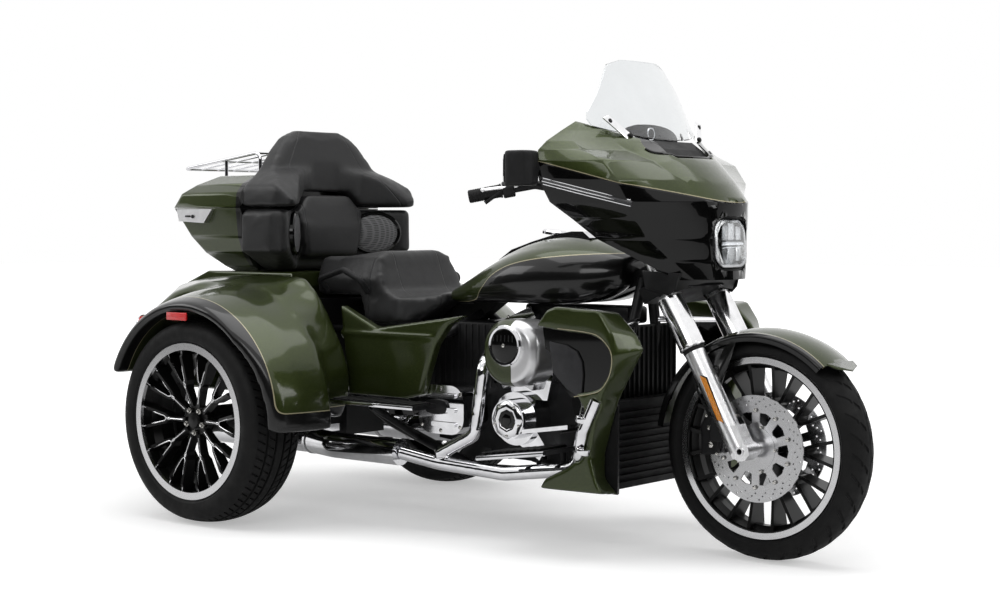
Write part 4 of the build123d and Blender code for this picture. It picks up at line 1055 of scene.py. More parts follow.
@dataclass
class Studio:
    """Pale floor, soft lights and the camera at the photograph's angle."""

    camera_place: Triple = (3.574, -4.295, 0.949)
    azimuth: float = 39.537
    elevation: float = 2.521
    lens: float = 63.68
    sensor: float = 36.0
    flag_radius: float = 6.6
    flag_height: float = 2.9
    flag_middle: float = 1.62
    flag_reach: float = 100.0
    floor_size: float = 60.0
    floor_level: Pair = (0.40, 1.0)
    floor_span: Pair = (1.0, 5.0)
    floor_gloss: float = 0.3
    fill_light: float = 0.40

    def build(self) -> None:
        """Sets the camera, floor, world and lamps."""
        bpy.context.scene.view_settings.view_transform = "Standard"
        self.camera()
        self.floor()
        self.world()
        self.flag()
        self.lamp("top_lamp", (0.2, -0.3, 4.2), (0.0, 0.0, 0.4), (5.0, 3.2), 105.0)
        self.lamp("side_lamp", (2.2, -5.2, 3.2), (0.3, 0.0, 0.5), (3.0, 1.6), 45.0)
        self.lamp("front_lamp", (5.2, 1.2, 2.6), (0.5, 0.0, 0.6), (1.6, 2.0), 40.0)
        self.lamp("back_lamp", (-4.0, -3.0, 3.0), (-0.6, 0.0, 0.6), (2.2, 1.8), 32.0)

    def camera(self) -> None:
        """Places the camera."""
        bpy.ops.object.camera_add(location=self.camera_place)
        camera = bpy.context.object
        camera.rotation_euler = (math.radians(90.0 - self.elevation), 0.0, math.radians(self.azimuth))
        camera.data.sensor_width = self.sensor
        camera.data.lens = self.lens
        bpy.context.scene.camera = camera

    def lamp(self, name: str, place: Triple, aim: Triple, size: Pair, power: float) -> None:
        """A rectangular soft lamp aimed at a point.

        Args:
            name: What the lamp is called.
            place: Where it hangs, in metres.
            aim: The point that it faces.
            size: Its width and height.
            power: Its power, in watts.
        """
        bpy.ops.object.light_add(type="AREA", location=place)
        lamp = bpy.context.object
        lamp.name = name
        lamp.data.shape = "RECTANGLE"
        lamp.data.size, lamp.data.size_y = size
        lamp.data.energy = power
        lamp.rotation_euler = (Vector(aim) - Vector(place)).to_track_quat("-Z", "Y").to_euler()

    def flag(self) -> None:
        """Stands a dark curved screen behind the camera, seen only in gloss and chrome."""
        bpy.ops.mesh.primitive_cylinder_add(
            vertices=96, radius=self.flag_radius, depth=self.flag_height, end_fill_type="NOTHING",
            location=(0, 0, self.flag_middle),
        )
        flag = bpy.context.object
        flag.name = "studio_flag"
        bpy.ops.object.mode_set(mode="EDIT")
        bpy.ops.mesh.select_all(action="DESELECT")
        bpy.ops.object.mode_set(mode="OBJECT")
        middle = math.radians(self.azimuth - 90.0)
        for face in flag.data.polygons:
            turn = math.atan2(face.center.y, face.center.x) - middle
            turn = abs((turn + math.pi) % (2 * math.pi) - math.pi)
            face.select = turn > math.radians(self.flag_reach)
        bpy.ops.object.mode_set(mode="EDIT")
        bpy.ops.mesh.delete(type="FACE")
        bpy.ops.object.mode_set(mode="OBJECT")
        graph = Graph("flag_shade")
        graph.set(Base_Color=(0.02, 0.02, 0.02), Roughness=1.0, Specular_IOR_Level=0.0)
        graph.shader.inputs["Emission Color"].default_value = (1.0, 1.0, 1.0, 1.0)
        rise = graph.step(graph.z, 0.5, 3.0)
        graph.put(graph.shader.inputs["Emission Strength"], graph.math("POWER", rise, 1.6))
        flag.data.materials.append(graph.material)
        flag.visible_camera = flag.visible_diffuse = flag.visible_shadow = flag.visible_transmission = False

    def floor(self) -> None:
        """Lays a wide floor that reads as white where it is lit and keeps the shadow."""
        bpy.ops.mesh.primitive_plane_add(size=self.floor_size, location=(0.0, 0.0, -0.0005))
        floor = bpy.context.object
        floor.name = "studio_floor"
        graph = Graph("floor_white")
        graph.set(Base_Color=(0.80, 0.80, 0.80), Roughness=0.9, Specular_IOR_Level=0.1)
        rays = graph.tree.nodes.new("ShaderNodeLightPath")
        seen = graph.math("ADD", rays.outputs["Is Camera Ray"], rays.outputs["Is Transmission Ray"])
        seen = graph.math(
            "ADD", seen, graph.math("MULTIPLY", rays.outputs["Is Glossy Ray"], self.floor_gloss)
        )
        graph.shader.inputs["Emission Color"].default_value = (1.0, 1.0, 1.0, 1.0)
        away = graph.math(
            "ADD", graph.math("MULTIPLY", graph.x, graph.x), graph.math("MULTIPLY", graph.y, graph.y)
        )
        level = graph.remap(graph.math("SQRT", away), *self.floor_span, *self.floor_level)
        graph.put(graph.shader.inputs["Emission Strength"], graph.math("MULTIPLY", seen, level))
        floor.data.materials.append(graph.material)

    def world(self) -> None:
        """A white surround for what the camera, metal and glass see, and a softer one for the light."""
        world = bpy.data.worlds.new("studio_world")
        bpy.context.scene.world = world
        world.use_nodes = True
        nodes, links = world.node_tree.nodes, world.node_tree.links
        rays = nodes.new("ShaderNodeLightPath")
        metal, glass = nodes.new("ShaderNodeMath"), nodes.new("ShaderNodeMath")
        level = nodes.new("ShaderNodeMapRange")
        metal.operation = glass.operation = "ADD"
        links.new(rays.outputs["Is Camera Ray"], metal.inputs[0])
        links.new(rays.outputs["Is Glossy Ray"], metal.inputs[1])
        links.new(metal.outputs[0], glass.inputs[0])
        links.new(rays.outputs["Is Transmission Ray"], glass.inputs[1])
        links.new(glass.outputs[0], level.inputs[0])
        level.inputs[3].default_value = self.fill_light
        level.inputs[4].default_value = 1.0
        background = nodes["Background"]
        background.inputs["Color"].default_value = (1.0, 1.0, 1.0, 1.0)
        links.new(level.outputs[0], background.inputs["Strength"])


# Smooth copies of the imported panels


@dataclass
class Skin:
    """A smooth copy of a packed panel, in the panel's place.

    Attributes:
        node: The panel.
        body: The body it rides on.
        finish: Its finish.
        slot: The record's material slot.
        angle: Edges under this many degrees are smoothed.
        voxel: Size of an even remesh in millimetres, or 0 to keep the panel's own faces.
        rounds: How often the remeshed surface is eased.
    """

    node: str
    body: Body
    finish: object
    slot: str
    angle: float = 38.0
    voxel: float = 0.0
    rounds: int = 10

    def build(self, bench: Bench) -> Shape:
        """Copies, evens and eases the panel.

        Args:
            bench: Where pieces are made.

        Returns:
            The finished copy.
        """
        skin = bench.twin(bench.nodes[self.node], f"{self.node}_skin")
        bench.pick(skin)
        bpy.ops.object.mode_set(mode="EDIT")
        bpy.ops.mesh.select_all(action="SELECT")
        bpy.ops.mesh.remove_doubles(threshold=5e-5)
        bpy.ops.object.mode_set(mode="OBJECT")
        if self.voxel:
            bench.even(skin, self.voxel, self.rounds)
        bench.hand_in(skin.name, skin, self.finish, self.body, self.slot, self.angle)
        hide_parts(self.node)
        return skin


# Wheels


@dataclass
class Tyre:
    """A treaded tyre, from bead to bead, in place of the plain one.

    Attributes:
        node: The plain tyre's node, whose place it takes.
        body: The wheel it rides on.
        centre: The wheel's centre, in millimetres.
        walls: Sidewall points as (radius, distance from the middle), bead first.
        crown: The tread surface's radius at the middle and its arc's radius.
        grooves: Distances of the long grooves from the middle.
        blocks: Inner and outer end of the cross grooves.
        pitches: Cross grooves round the tyre.
        slant: Degrees that a cross groove leans per millimetre.
    """

    node: str
    body: Body
    centre: Triple
    walls: tuple[Pair, ...]
    crown: Pair
    grooves: tuple[float, ...]
    blocks: tuple[Pair, ...]
    pitches: int
    slant: float
    deep: float = 5.0

    def columns(self) -> list[tuple[float, float, bool, bool]]:
        """The section as (distance, radius, in a long groove, in a cross groove), from one bead to the other.

        Returns:
            The section's points.
        """
        edge = self.walls[-1][1]
        marks: set[float] = {0.0}
        for groove in self.grooves:
            marks |= {groove - 4.5, groove - 3.2, groove + 3.2, groove + 4.5}
        for low, high in self.blocks:
            marks |= {low - 1.2, low, high, high + 1.6, (low + high) / 2}
        half = []
        for mark in sorted(m for m in marks if 0.0 <= m < edge - 1.0):
            drop = self.crown[1] - math.sqrt(self.crown[1] ** 2 - mark**2)
            long = any(abs(mark - groove) < 3.5 for groove in self.grooves)
            cross = any(low - 0.1 <= mark <= high + 0.1 for low, high in self.blocks)
            half.append((mark, self.crown[0] - drop, long, cross))
        wall = [(y, r, False, False) for r, y in self.walls]
        left = half + wall[::-1]
        return [(-y, r, a, b) for y, r, a, b in left[::-1][:-1]] + left

    def build(self, bench: Bench) -> None:
        """Wraps the section round the wheel and cuts the tread.

        Args:
            bench: Where pieces are made.
        """
        columns = self.columns()
        rows = self.pitches * 4
        centre = mm(*self.centre)
        parts = (0.0, 0.14, 0.19, 0.95)

        def place(u: float, v: float) -> Vector:
            """Where a grid point goes on the tyre."""
            y, radius, long, cross = columns[round(u * (len(columns) - 1))]
            row = round(v * rows)
            pitch, part = divmod(row, 4)
            low = long or (cross and part < 2)
            turn = 2 * math.pi * (pitch + parts[part]) / self.pitches + math.radians(self.slant * abs(y))
            turn += math.pi / self.pitches if y > 0 else 0.0
            reach = (radius - (self.deep if low else 0.0)) * MM
            return centre + Vector((math.cos(turn) * reach, y * MM, math.sin(turn) * reach))

        shape = bench.patch(len(columns) - 1, rows, place)
        bench.tidy(shape, 2e-5)
        finish = Rubber(f"rubber_{self.node}", self.centre[0] * MM, self.centre[2] * MM)
        tyre = bench.hand_in(f"{self.node}_treaded", shape, finish, self.body, "tyre_black", 28.0)
        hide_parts(self.node)


@dataclass
class Wheels(Bench):
    """Tyres, machined ridges on the rear spokes, lug bolts, and the finish of rims and discs."""

    front: Triple = (1005.0, 0.0, 319.0)
    rear: Pair = (-695.0, 325.0)
    track: float = 567.0
    disc_y: float = 66.0
    spokes: int = 10
    lugs: int = 5
    lug_circle: float = 0.038

    def build(self) -> None:
        """Makes the wheels' pieces and colours their nodes."""
        Tyre(
            "front_tyre", Body.FRONT_WHEEL, self.front,
            (
                (243.5, 43.5), (252.0, 45.2), (258.0, 48.0), (262.0, 56.0), (268.0, 64.0), (276.0, 65.8),
                (284.0, 64.6), (289.0, 62.2),
            ),
            (319.0, 79.0), (), ((9.0, 24.0), (30.0, 55.0)), 34, 0.20, 4.0,
        ).build(self)
        for side, body, node in ((RIGHT, Body.REAR_RIGHT, "right"), (LEFT, Body.REAR_LEFT, "left")):
            Tyre(
                f"rear_tyre_{node}", body, (self.rear[0], self.track * side, self.rear[1]),
                (
                    (234.5, 90.5), (243.0, 92.3), (250.0, 96.0), (256.0, 103.5), (268.0, 106.6),
                    (282.0, 106.6), (298.0, 101.0), (306.0, 94.0), (310.5, 86.0),
                ),
                (325.0, 265.0), (17.0, 50.0), ((24.0, 43.0), (57.0, 80.0)), 74, 0.09, 6.0,
            ).build(self)
            self.rim(side, body, node)
        self.front_parts()

    def rim(self, side: int, body: Body, label: str) -> None:
        """Ridges, bolts and finish of one rear rim.

        Args:
            side: Which side of the machine the wheel is on.
            body: The wheel's body.
            label: The side's name in the nodes.
        """
        x, z = self.rear
        centre = mm(x, self.track * side, z)
        ridges = []
        for prong in (-1, 1):
            marks = ((124.0, 75.4, 0.0), (131.0, 77.0, 7.5), (165.0, 83.5, 16.0), (228.0, 85.0, 33.0))
            path = [
                (x + reach, (self.track + out) * side, z + spread * prong) for reach, out, spread in marks
            ]
            ridges.append(self.pipe(path, 1.7, False, 1))
        stem = [(x + 56.0, (self.track + 65.6) * side, z), (x + 108.0, (self.track + 72.8) * side, z)]
        ridges.append(self.pipe(stem, 1.9, False, 1))
        ridges.append(self.ball(mm(x + 116.0, (self.track + 73.6) * side, z), (11.0, 2.2, 4.4)))
        fork = self.join(ridges)
        lines = self.around(fork, centre, Vector((0, 1, 0)), self.spokes)
        self.hand_in(f"rear_ridges_{label}", lines, MACHINED, body, "disc_steel")
        ends = [centre + Vector((self.lug_circle, side * out, 0)) for out in (0.060, 0.066, 0.068, 0.074)]
        bolt = self.rod(ends[1], ends[3], 7.0, 5.5, 6)
        socket = self.rod(ends[0], ends[2], 9.0)
        bolts = self.around(self.join([bolt, socket]), centre, Vector((0, 1, 0)), self.lugs, 18.0)
        self.hand_in(f"lug_bolts_{label}", bolts, SCREW, body, "disc_steel")
        finish = Turned(
            f"rim_rear_{label}", x * MM, z * MM, dark=(0.004, 0.004, 0.004), edge=0.2225, flank=0.085,
            middle=self.track * side * MM,
        )
        self.paint(finish, f"rear_rim_{label}")

    def front_parts(self) -> None:
        """The front rim, discs and their button bolts."""
        x, _, z = self.front
        finish = Turned("rim_front", x * MM, z * MM, dark=(0.004, 0.004, 0.004), edge=0.2375, flank=0.040)
        self.paint(finish, "front_rim")
        disc = Turned("disc_turned", x * MM, z * MM, (0.56, 0.56, 0.57))
        self.paint(disc, "front_discs")
        shapes = []
        for side in (RIGHT, LEFT):
            centre = mm(x, self.disc_y * side, z)
            out = Vector((0.0, 0.001 * side, 0.0))
            spot = centre + Vector((0.108, 0, 0))
            button = self.rod(spot + out * 3, spot + out * 8, 6.5, 5.0)
            shapes += self.around(button, centre, Vector((0, 1, 0)), 10, 18.0)
            spot = centre + Vector((0.064, 0, 0))
            screw = self.rod(spot + out * 3, spot + out * 9, 5.0, 4.0)
            shapes += self.around(screw, centre, Vector((0, 1, 0)), 5)
        self.hand_in("disc_buttons", shapes, SCREW, Body.FRONT_WHEEL, "disc_steel")


# Fork and front fender


@dataclass
class Fork(Bench):
    """Chrome covers, satin sliders, reflectors, calipers, brake lines and the front fender's black lip."""

    offset: float = 125.0
    axle_z: float = 319.0
    axle_x: float = 991.0
    lean: float = 29.5
    sleeve: Pair = (596.0, 736.0)
    reflector: Pair = (402.0, 516.0)

    def at(self, z: float, side: int, out: float = 0.0, ahead: float = 0.0) -> Triple:
        """A point by a fork leg's middle line at a height, pushed outwards and forwards."""
        x = self.axle_x - (z - self.axle_z) * math.tan(math.radians(self.lean)) + ahead
        return (x, side * (self.offset + out), z)

    def build(self) -> None:
        """Makes the fork's pieces and colours its nodes."""
        self.paint(BLACK_SATIN, "fork_yokes")
        self.paint(SLIDER, "fork_legs", "front_axle")
        Skin("brake_calipers", Body.STEERING, BLACK_SATIN, "trim_black", 50.0, 2.5, 8).build(self)
        border = Border(lambda g: g.math("SUBTRACT", 0.0735, g.math("ABSOLUTE", g.y)))
        Skin("front_fender", Body.STEERING, Paint("olive_front_fender", border), "olive_paint").build(self)
        self.covers()
        self.reflectors()
        self.caliper_bolts()
        self.lines()

    def covers(self) -> None:
        """Bright sleeves over the upper legs, with a bead at their foot, and dust seals."""
        sleeves, seals = [], []
        for side in (RIGHT, LEFT):
            low, high = (mm(*self.at(z, side)) for z in self.sleeve)
            axis = high - low
            span = axis.length / MM
            profile = [
                (30.5, 0.0), (37.6, 0.0), (38.2, 3.0), (37.2, 6.0), (36.9, 10.0), (36.9, span - 8),
                (35.5, span - 2), (27.0, span),
            ]
            sleeves.append(self.lathe(profile, low, axis, 48))
            seals.append(self.lathe([(25.0, -2), (31.5, -2), (32.0, -8), (30.6, -14)], low, axis, 40))
        self.hand_in("fork_sleeves", sleeves, SLEEVE, Body.STEERING, "bright_metal")
        self.hand_in("fork_seals", seals, RUBBER_PAD, Body.STEERING, "trim_black")

    def reflectors(self) -> None:
        """Amber reflectors in bright holders on the outer side of each slider."""
        lenses, holders = [], []
        for side in (RIGHT, LEFT):
            low, high = (self.at(z, side, 30.0, 5.0) for z in self.reflector)
            for grow, deep, group in ((0.0, 5.0, lenses), (3.0, 2.5, holders)):
                half = 11.0 + grow
                lift = grow * 1.2
                y = low[1] - side * 3
                outline = [
                    (low[0] - half - 2, y, low[2] - lift), (low[0] + half - 4, y, low[2] - lift - 6),
                    (high[0] + half + 2, y, high[2] + lift), (high[0] - half + 4, y, high[2] + lift + 6),
                ]
                group.append(self.plate(outline, (0.0, side * deep, 0.0), 1.4))
        self.hand_in("fork_reflectors", lenses, AMBER, Body.STEERING, "lamp_clear")
        self.hand_in("reflector_holders", holders, BLACK_SATIN, Body.STEERING, "trim_black")

    def caliper_bolts(self) -> None:
        """Bolts on the face of each brake caliper."""
        shapes = []
        for x, z, size in (
            (867.0, 370.0, 8.0), (873.0, 322.0, 10.0), (858.0, 404.0, 6.5), (893.0, 299.0, 5.5),
            (882.0, 413.0, 6.0),
        ):
            start, end = mm(x, -86.0, z), mm(x, -93.0, z)
            shapes.append(self.rod(start, end, size, size * 0.8))
            shapes.append(
                self.rod(end - Vector((0, 0.001, 0)), end + Vector((0, -0.003, 0)), size * 0.5, None, 6)
            )
        self.hand_in("caliper_bolts", self.both(shapes), SCREW, Body.STEERING, "disc_steel")

    def lines(self) -> None:
        """Brake hoses from the calipers up behind the fork to the yoke, held at both ends."""
        path = [
            (872, -96, 405), (858, -104, 440), (842, -118, 480), (826, -122, 560), (786, -118, 640),
            (745, -96, 720), (712, -70, 770),
        ]
        hoses = self.both([self.pipe(path, 3.4)])
        self.hand_in("brake_hoses", hoses, RUBBER_PAD, Body.STEERING, "trim_black")


# Fairing and cockpit


@dataclass
class Fairing(Bench):
    """Upper fairing paint, lamp, vent, light strips, screen with brackets, and mirrors."""

    lamp_x: float = 865.0
    lamp_z: float = 888.0
    mouth: Triple = (692.0, 61.0, 164.0)
    mouth_low: float = 1090.0
    bracket: tuple[Triple, Triple] = ((652.0, -168.0, 1188.0), (604.0, -236.0, 1240.0))
    paint_line: Triple = (0.9, 1.0052, 0.297)

    def build(self) -> None:
        """Makes the fairing's pieces and colours its nodes."""
        finish = Paint("olive_fairing", Border(self.border, 0.0012))
        hull = Skin("fairing_paint", Body.STEERING, finish, "olive_paint", 34.0).build(self)
        Skin("fairing_mask", Body.STEERING, BLACK_GLOSS, "black_paint", 34.0).build(self)
        self.paint(BLACK_PLASTIC, "inner_fairing")
        self.paint(BLACK_SATIN, "headlamp")
        Skin("mirrors", Body.STEERING, BLACK_PLASTIC, "trim_black", 60.0, 3.5, 40).build(self)
        self.paint(Gloss("smoked_strip", (0.035, 0.036, 0.038), 0.1), "light_bars")
        self.screen()
        self.vent(hull)
        self.lamp()
        self.strips()
        self.brackets()
        self.cowl()
        self.shroud()
        self.mirrors()

    def border(self, g: Graph) -> Socket:
        """Above 0 in the olive: over the side line and outside the vent's mouth.

        Args:
            g: The paint's shader nodes.

        Returns:
            The distance's socket.
        """
        x, z, slope = self.paint_line
        side = g.math(
            "SUBTRACT", g.math("SUBTRACT", g.z, z), g.math("MULTIPLY", g.math("SUBTRACT", x, g.x), slope)
        )
        along = g.math("DIVIDE", g.math("SUBTRACT", g.x, self.mouth[0] * MM), self.mouth[1] * MM)
        across = g.math("DIVIDE", g.y, self.mouth[2] * MM)
        reach = g.math("ADD", g.math("MULTIPLY", along, along), g.math("MULTIPLY", across, across))
        return g.math("MINIMUM", side, g.math("SUBTRACT", reach, 1.0))

    def screen(self) -> None:
        """The clear screen, its upper corners cut on a slant."""
        skin = Skin("windscreen", Body.STEERING, SCREEN, "screen_clear", 30.0).build(self)
        for side in (RIGHT, LEFT):
            marks = ((272, 1240), (131, 1420), (100, 1460), (300, 1460), (300, 1240))
            corner = [(500, y * side, z) for y, z in marks]
            self.cut(skin, self.plate(corner, (250, 0, 0), 0))

    def vent(self, hull: Shape) -> None:
        """Black lip along the front of the vent's mouth, laid on the hull.

        Args:
            hull: The painted hull that the lip lies on.
        """
        mesh = hull.data
        tree = BVHTree.FromPolygons([v.co for v in mesh.vertices], [tuple(p.vertices) for p in mesh.polygons])
        path = []
        for i in range(17):
            turn = math.pi * (i - 8) / 17
            x = self.mouth[0] + (self.mouth[1] + 2.0) * math.cos(turn)
            y = (self.mouth[2] + 2.0) * math.sin(turn)
            down = (
                tree.ray_cast(mm(x + ahead, y, 1400.0), Vector((0, 0, -1)))[0] for ahead in range(4, 60, 4)
            )
            height = next(hit.z / MM for hit in down if hit and hit.z > self.mouth_low * MM)
            path.append((x, y, height + 3.0))
        self.hand_in("vent_lip", self.pipe(path, 5.0), BLACK_GLOSS, Body.STEERING, "black_paint")

    def rounded(
        self, half_y: float, half_z: float, corner: float, x: float, lean: float = 0.1
    ) -> list[Triple]:
        """A rounded rectangle across the nose, leaning back upwards.

        Args:
            half_y: Half its width, in millimetres.
            half_z: Half its height.
            corner: Its corners' radius.
            x: Where its middle is along the machine.
            lean: How far it leans back per millimetre of height.

        Returns:
            The outline's points, in millimetres.
        """
        points = []
        for cy, cz, start in ((1, 1, 0), (-1, 1, 90), (-1, -1, 180), (1, -1, 270)):
            for i in range(6):
                turn = math.radians(start + 18 * i)
                y = cy * (half_y - corner) + corner * math.cos(turn)
                z = cz * (half_z - corner) + corner * math.sin(turn)
                points.append((x - z * lean, y, self.lamp_z + z))
        return points

    def lamp(self) -> None:
        """Bright rim, upper and lower reflectors, a double middle bar, a bowl and a clear cover."""
        x = self.lamp_x
        rim = self.plate(self.rounded(79, 68, 40, x + 2), (12, 0, 0), 1.5)
        shapes = [self.cut(rim, self.plate(self.rounded(70, 59, 33, x - 2), (30, 0, 0), 0))]
        for up in (1, -1):
            for i, y in enumerate((-49.0, -17.0, 17.0, 49.0)):
                reach = 47.0 if i in (0, 3) else 55.0
                marks = ((y - 15, 8), (y + 15, 8), (y + 14, reach), (y - 14, reach))
                outline = [(x - 2, across, self.lamp_z + up * rise) for across, rise in marks]
                shapes.append(self.plate(outline, (5 + 2 * (i % 2), 0, 0), 2.0))
        self.hand_in("lamp_reflectors", shapes, CAST, Body.STEERING, "bright_metal")
        bar = [self.block((x - 2, -68, self.lamp_z - 5), (x + 12, 68, self.lamp_z + 5), 2.0)]
        bar.append(self.block((x - 2, -66, self.lamp_z - 12), (x + 8, 66, self.lamp_z - 9), 1.0))
        self.hand_in("lamp_bar", bar, CHROME, Body.STEERING, "bright_metal")
        back = self.plate(self.rounded(76, 66, 38, x - 16), (12, 0, 0), 1.0)
        self.hand_in(
            "lamp_bowl", back, Metal("lamp_bowl_silver", (0.35, 0.35, 0.36), 0.3), Body.STEERING,
            "bright_metal",
        )
        cover = self.plate(self.rounded(78, 67, 39, x + 14), (2.5, 0, 0), 1.0)
        self.hand_in("lamp_cover", cover, CLEAR, Body.STEERING, "lamp_clear")

    def strips(self) -> None:
        """Three thin bright lines along each strip."""
        lines = []
        for lift, out in ((-8.5, 2.0), (0.0, 7.0), (8.5, 2.0)):
            path = [
                (527, -414 - out, 1063 + lift), (635, -357 - out, 1031.5 + lift),
                (743, -298 - out, 1001 + lift),
            ]
            lines.append(self.pipe(path, 1.5, False))
        self.hand_in("strip_edges", self.both(lines), CHROME, Body.STEERING, "bright_metal")

    def brackets(self) -> None:
        """Two bright brackets with screws that hold the screen."""
        low, high = self.bracket
        outline = [
            (low[0] + 4, low[1] - 16, low[2] - 12), (low[0] + 4, low[1] + 14, low[2] - 2),
            (high[0] + 4, high[1] + 12, high[2] + 12), (high[0] + 4, high[1] - 14, high[2] + 2),
        ]
        plate = self.plate(outline, (5, -1, 1), 1.5)
        screws = []
        for along in (0.12, 0.88):
            spot = mm(*low).lerp(mm(*high), along) + mm(8, 0, 0)
            screws.append(self.rod(spot, spot + mm(6, 0, 2), 8.5, 6.5))
        self.hand_in("screen_brackets", self.both([plate]), SLEEVE, Body.STEERING, "bright_metal")
        self.hand_in("screen_screws", self.both(screws), BLACK_SATIN, Body.STEERING, "trim_black")

    def cowl(self) -> None:
        """Dark instrument cowl that shows through the screen, with a round vent in its middle."""
        outline = []
        for i in range(17):
            turn = math.pi * i / 16
            outline.append((598.0, 150 * math.cos(turn), 1172 + 62 * math.sin(turn) ** 0.6))
        panel = self.plate(outline + [(598.0, -150, 1160), (598.0, 150, 1160)], (-8, 0, 0), 2.0)
        self.hand_in("instrument_cowl", panel, BLACK_PLASTIC, Body.STEERING, "trim_black")
        ring = self.lathe([(15, 0), (15, 4), (19, 4), (20, 0)], mm(599, 0, 1206), Vector((1, 0, 0)), 40, True)
        self.hand_in("cowl_vent_ring", ring, CHROME, Body.STEERING, "bright_metal")

    def shroud(self) -> None:
        """Black shroud round the tops of the fork covers, below the nose."""
        sides = [
            (690, -170, 812), (812, -162, 806), (800, -164, 760), (780, -168, 742), (748, -170, 752),
            (702, -170, 760),
        ]
        cheek = self.plate(sides, (0, 6, 0), 2.0)
        edge = [
            (812, -160, 806), (812, 160, 806), (792, 150, 752), (792, 40, 766), (792, -40, 766),
            (792, -150, 752),
        ]
        front = self.plate(edge, (-6, 0, 0), 2.0)
        self.hand_in("fork_shroud", self.both([cheek]) + [front], BLACK_SATIN, Body.STEERING, "trim_black")

    def mirrors(self) -> None:
        """Mirror glass on the rear of each housing."""
        outline = [(449.5, -424, 1060), (449.5, -498, 1060), (449.5, -498, 1138), (449.5, -424, 1138)]
        glass = self.plate(outline, (3.0, 0, 0), 1.0)
        self.hand_in(
            "mirror_glass", self.both([glass]), Metal("mirror_silver", (0.9, 0.9, 0.91), 0.01), Body.STEERING,
            "bright_metal",
        )


@dataclass
class Cockpit(Bench):
    """Grips, levers and switch housings on the handlebar."""

    grip: tuple[Triple, Triple] = ((355.0, -387.0, 1039.0), (281.0, -443.5, 1021.5))
    ring_pitch: float = 7.0

    def build(self) -> None:
        """Makes the handlebar's pieces and colours its node."""
        self.paint(BLACK_SATIN, "handlebar")
        start, end = (mm(*point) for point in self.grip)
        axis = end - start
        span = axis.length / MM
        profile = [(13.0, -1.0), (20.5, 0.0), (20.5, 4.0), (18.8, 6.0)]
        height = 8.0
        while height < span - 8:
            profile += [(18.9, height), (18.9, height + 4.0), (18.2, height + 4.8), (18.2, height + 6.2)]
            height += self.ring_pitch
        profile += [(18.9, span - 6), (18.4, span), (15.0, span + 2.0), (0.0, span + 2.4)]
        grip = self.lathe(profile, start, axis, 32)
        self.hand_in("grips", self.both([grip]), RUBBER_PAD, Body.STEERING, "trim_black")
        body = self.rod(mm(384, -365, 1046), mm(357, -385.5, 1040), 24.0)
        switch = self.block((361, -380, 1022), (379, -358, 1034), 3.0)
        self.hand_in("switch_housings", self.both([body, switch]), BLACK_PLASTIC, Body.STEERING, "trim_black")
        lever = self.pipe(
            [(402, -352, 1052), (390, -380, 1050), (372, -398, 1047), (345, -418, 1044), (322, -432, 1040)],
            5.0,
        )
        knob = self.ball(mm(322, -432, 1040), (8.0, 8.0, 7.0))
        self.hand_in("levers", self.both([lever, knob]), SLIDER, Body.STEERING, "slider_metal")


# Seats and luggage


@dataclass
class Pad:
    """A stuffed leather piece, blown up from its solid by a short cloth run.

    Attributes:
        node: The solid it takes the place of.
        body: The body it rides on.
        voxel: Size of the remesh, in millimetres.
        cap: How far a point may move, in millimetres.
        fill: How full the padding is; not used.
        seams: Planes or surfaces that its seams follow.
        pressure: The cloth run's air pressure.
        frames: Frames that the cloth run takes.
    """

    node: str
    body: Body
    voxel: float = 9.0
    cap: float = 7.0
    fill: float = 0.9
    seams: tuple[Callable[[Graph], Socket], ...] = ()
    pressure: float = 4.0
    frames: int = 20

    def build(self, bench: Bench) -> None:
        """Copies, remeshes, inflates and dresses the pad.

        Args:
            bench: Where pieces are made.
        """
        pad = bench.tidy(bench.twin(bench.nodes[self.node], f"{self.node}_pad"), 2e-4)
        bench.even(pad, self.voxel, 6)
        self.inflate(pad)
        bench.modify(pad, "SUBSURF", levels=1, render_levels=1)
        bench.hand_in(
            pad.name, pad, Leather(f"leather_{self.node}", self.seams), self.body, "seat_black", 60.0
        )
        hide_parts(self.node)

    def inflate(self, pad: Shape) -> None:
        """Runs cloth with air pressure, then keeps each point within the cap.

        Args:
            pad: The remeshed pad.
        """
        rest = [vertex.co.copy() for vertex in pad.data.vertices]
        cloth = pad.modifiers.new("stuffing", "CLOTH")
        cloth.settings.use_pressure = True
        cloth.settings.uniform_pressure_force = self.pressure
        cloth.settings.effector_weights.gravity = 0.0
        cloth.settings.quality = 5
        cloth.collision_settings.use_collision = False
        cloth.collision_settings.use_self_collision = False
        cloth.point_cache.frame_start = 1
        cloth.point_cache.frame_end = self.frames
        for frame in range(1, self.frames + 1):
            bpy.context.scene.frame_set(frame)
        bpy.ops.object.modifier_apply(modifier=cloth.name)
        bpy.context.scene.frame_set(1)
        for vertex, home in zip(pad.data.vertices, rest):
            move = vertex.co - home
            if move.length > self.cap * MM:
                vertex.co = home + move.normalized() * self.cap * MM


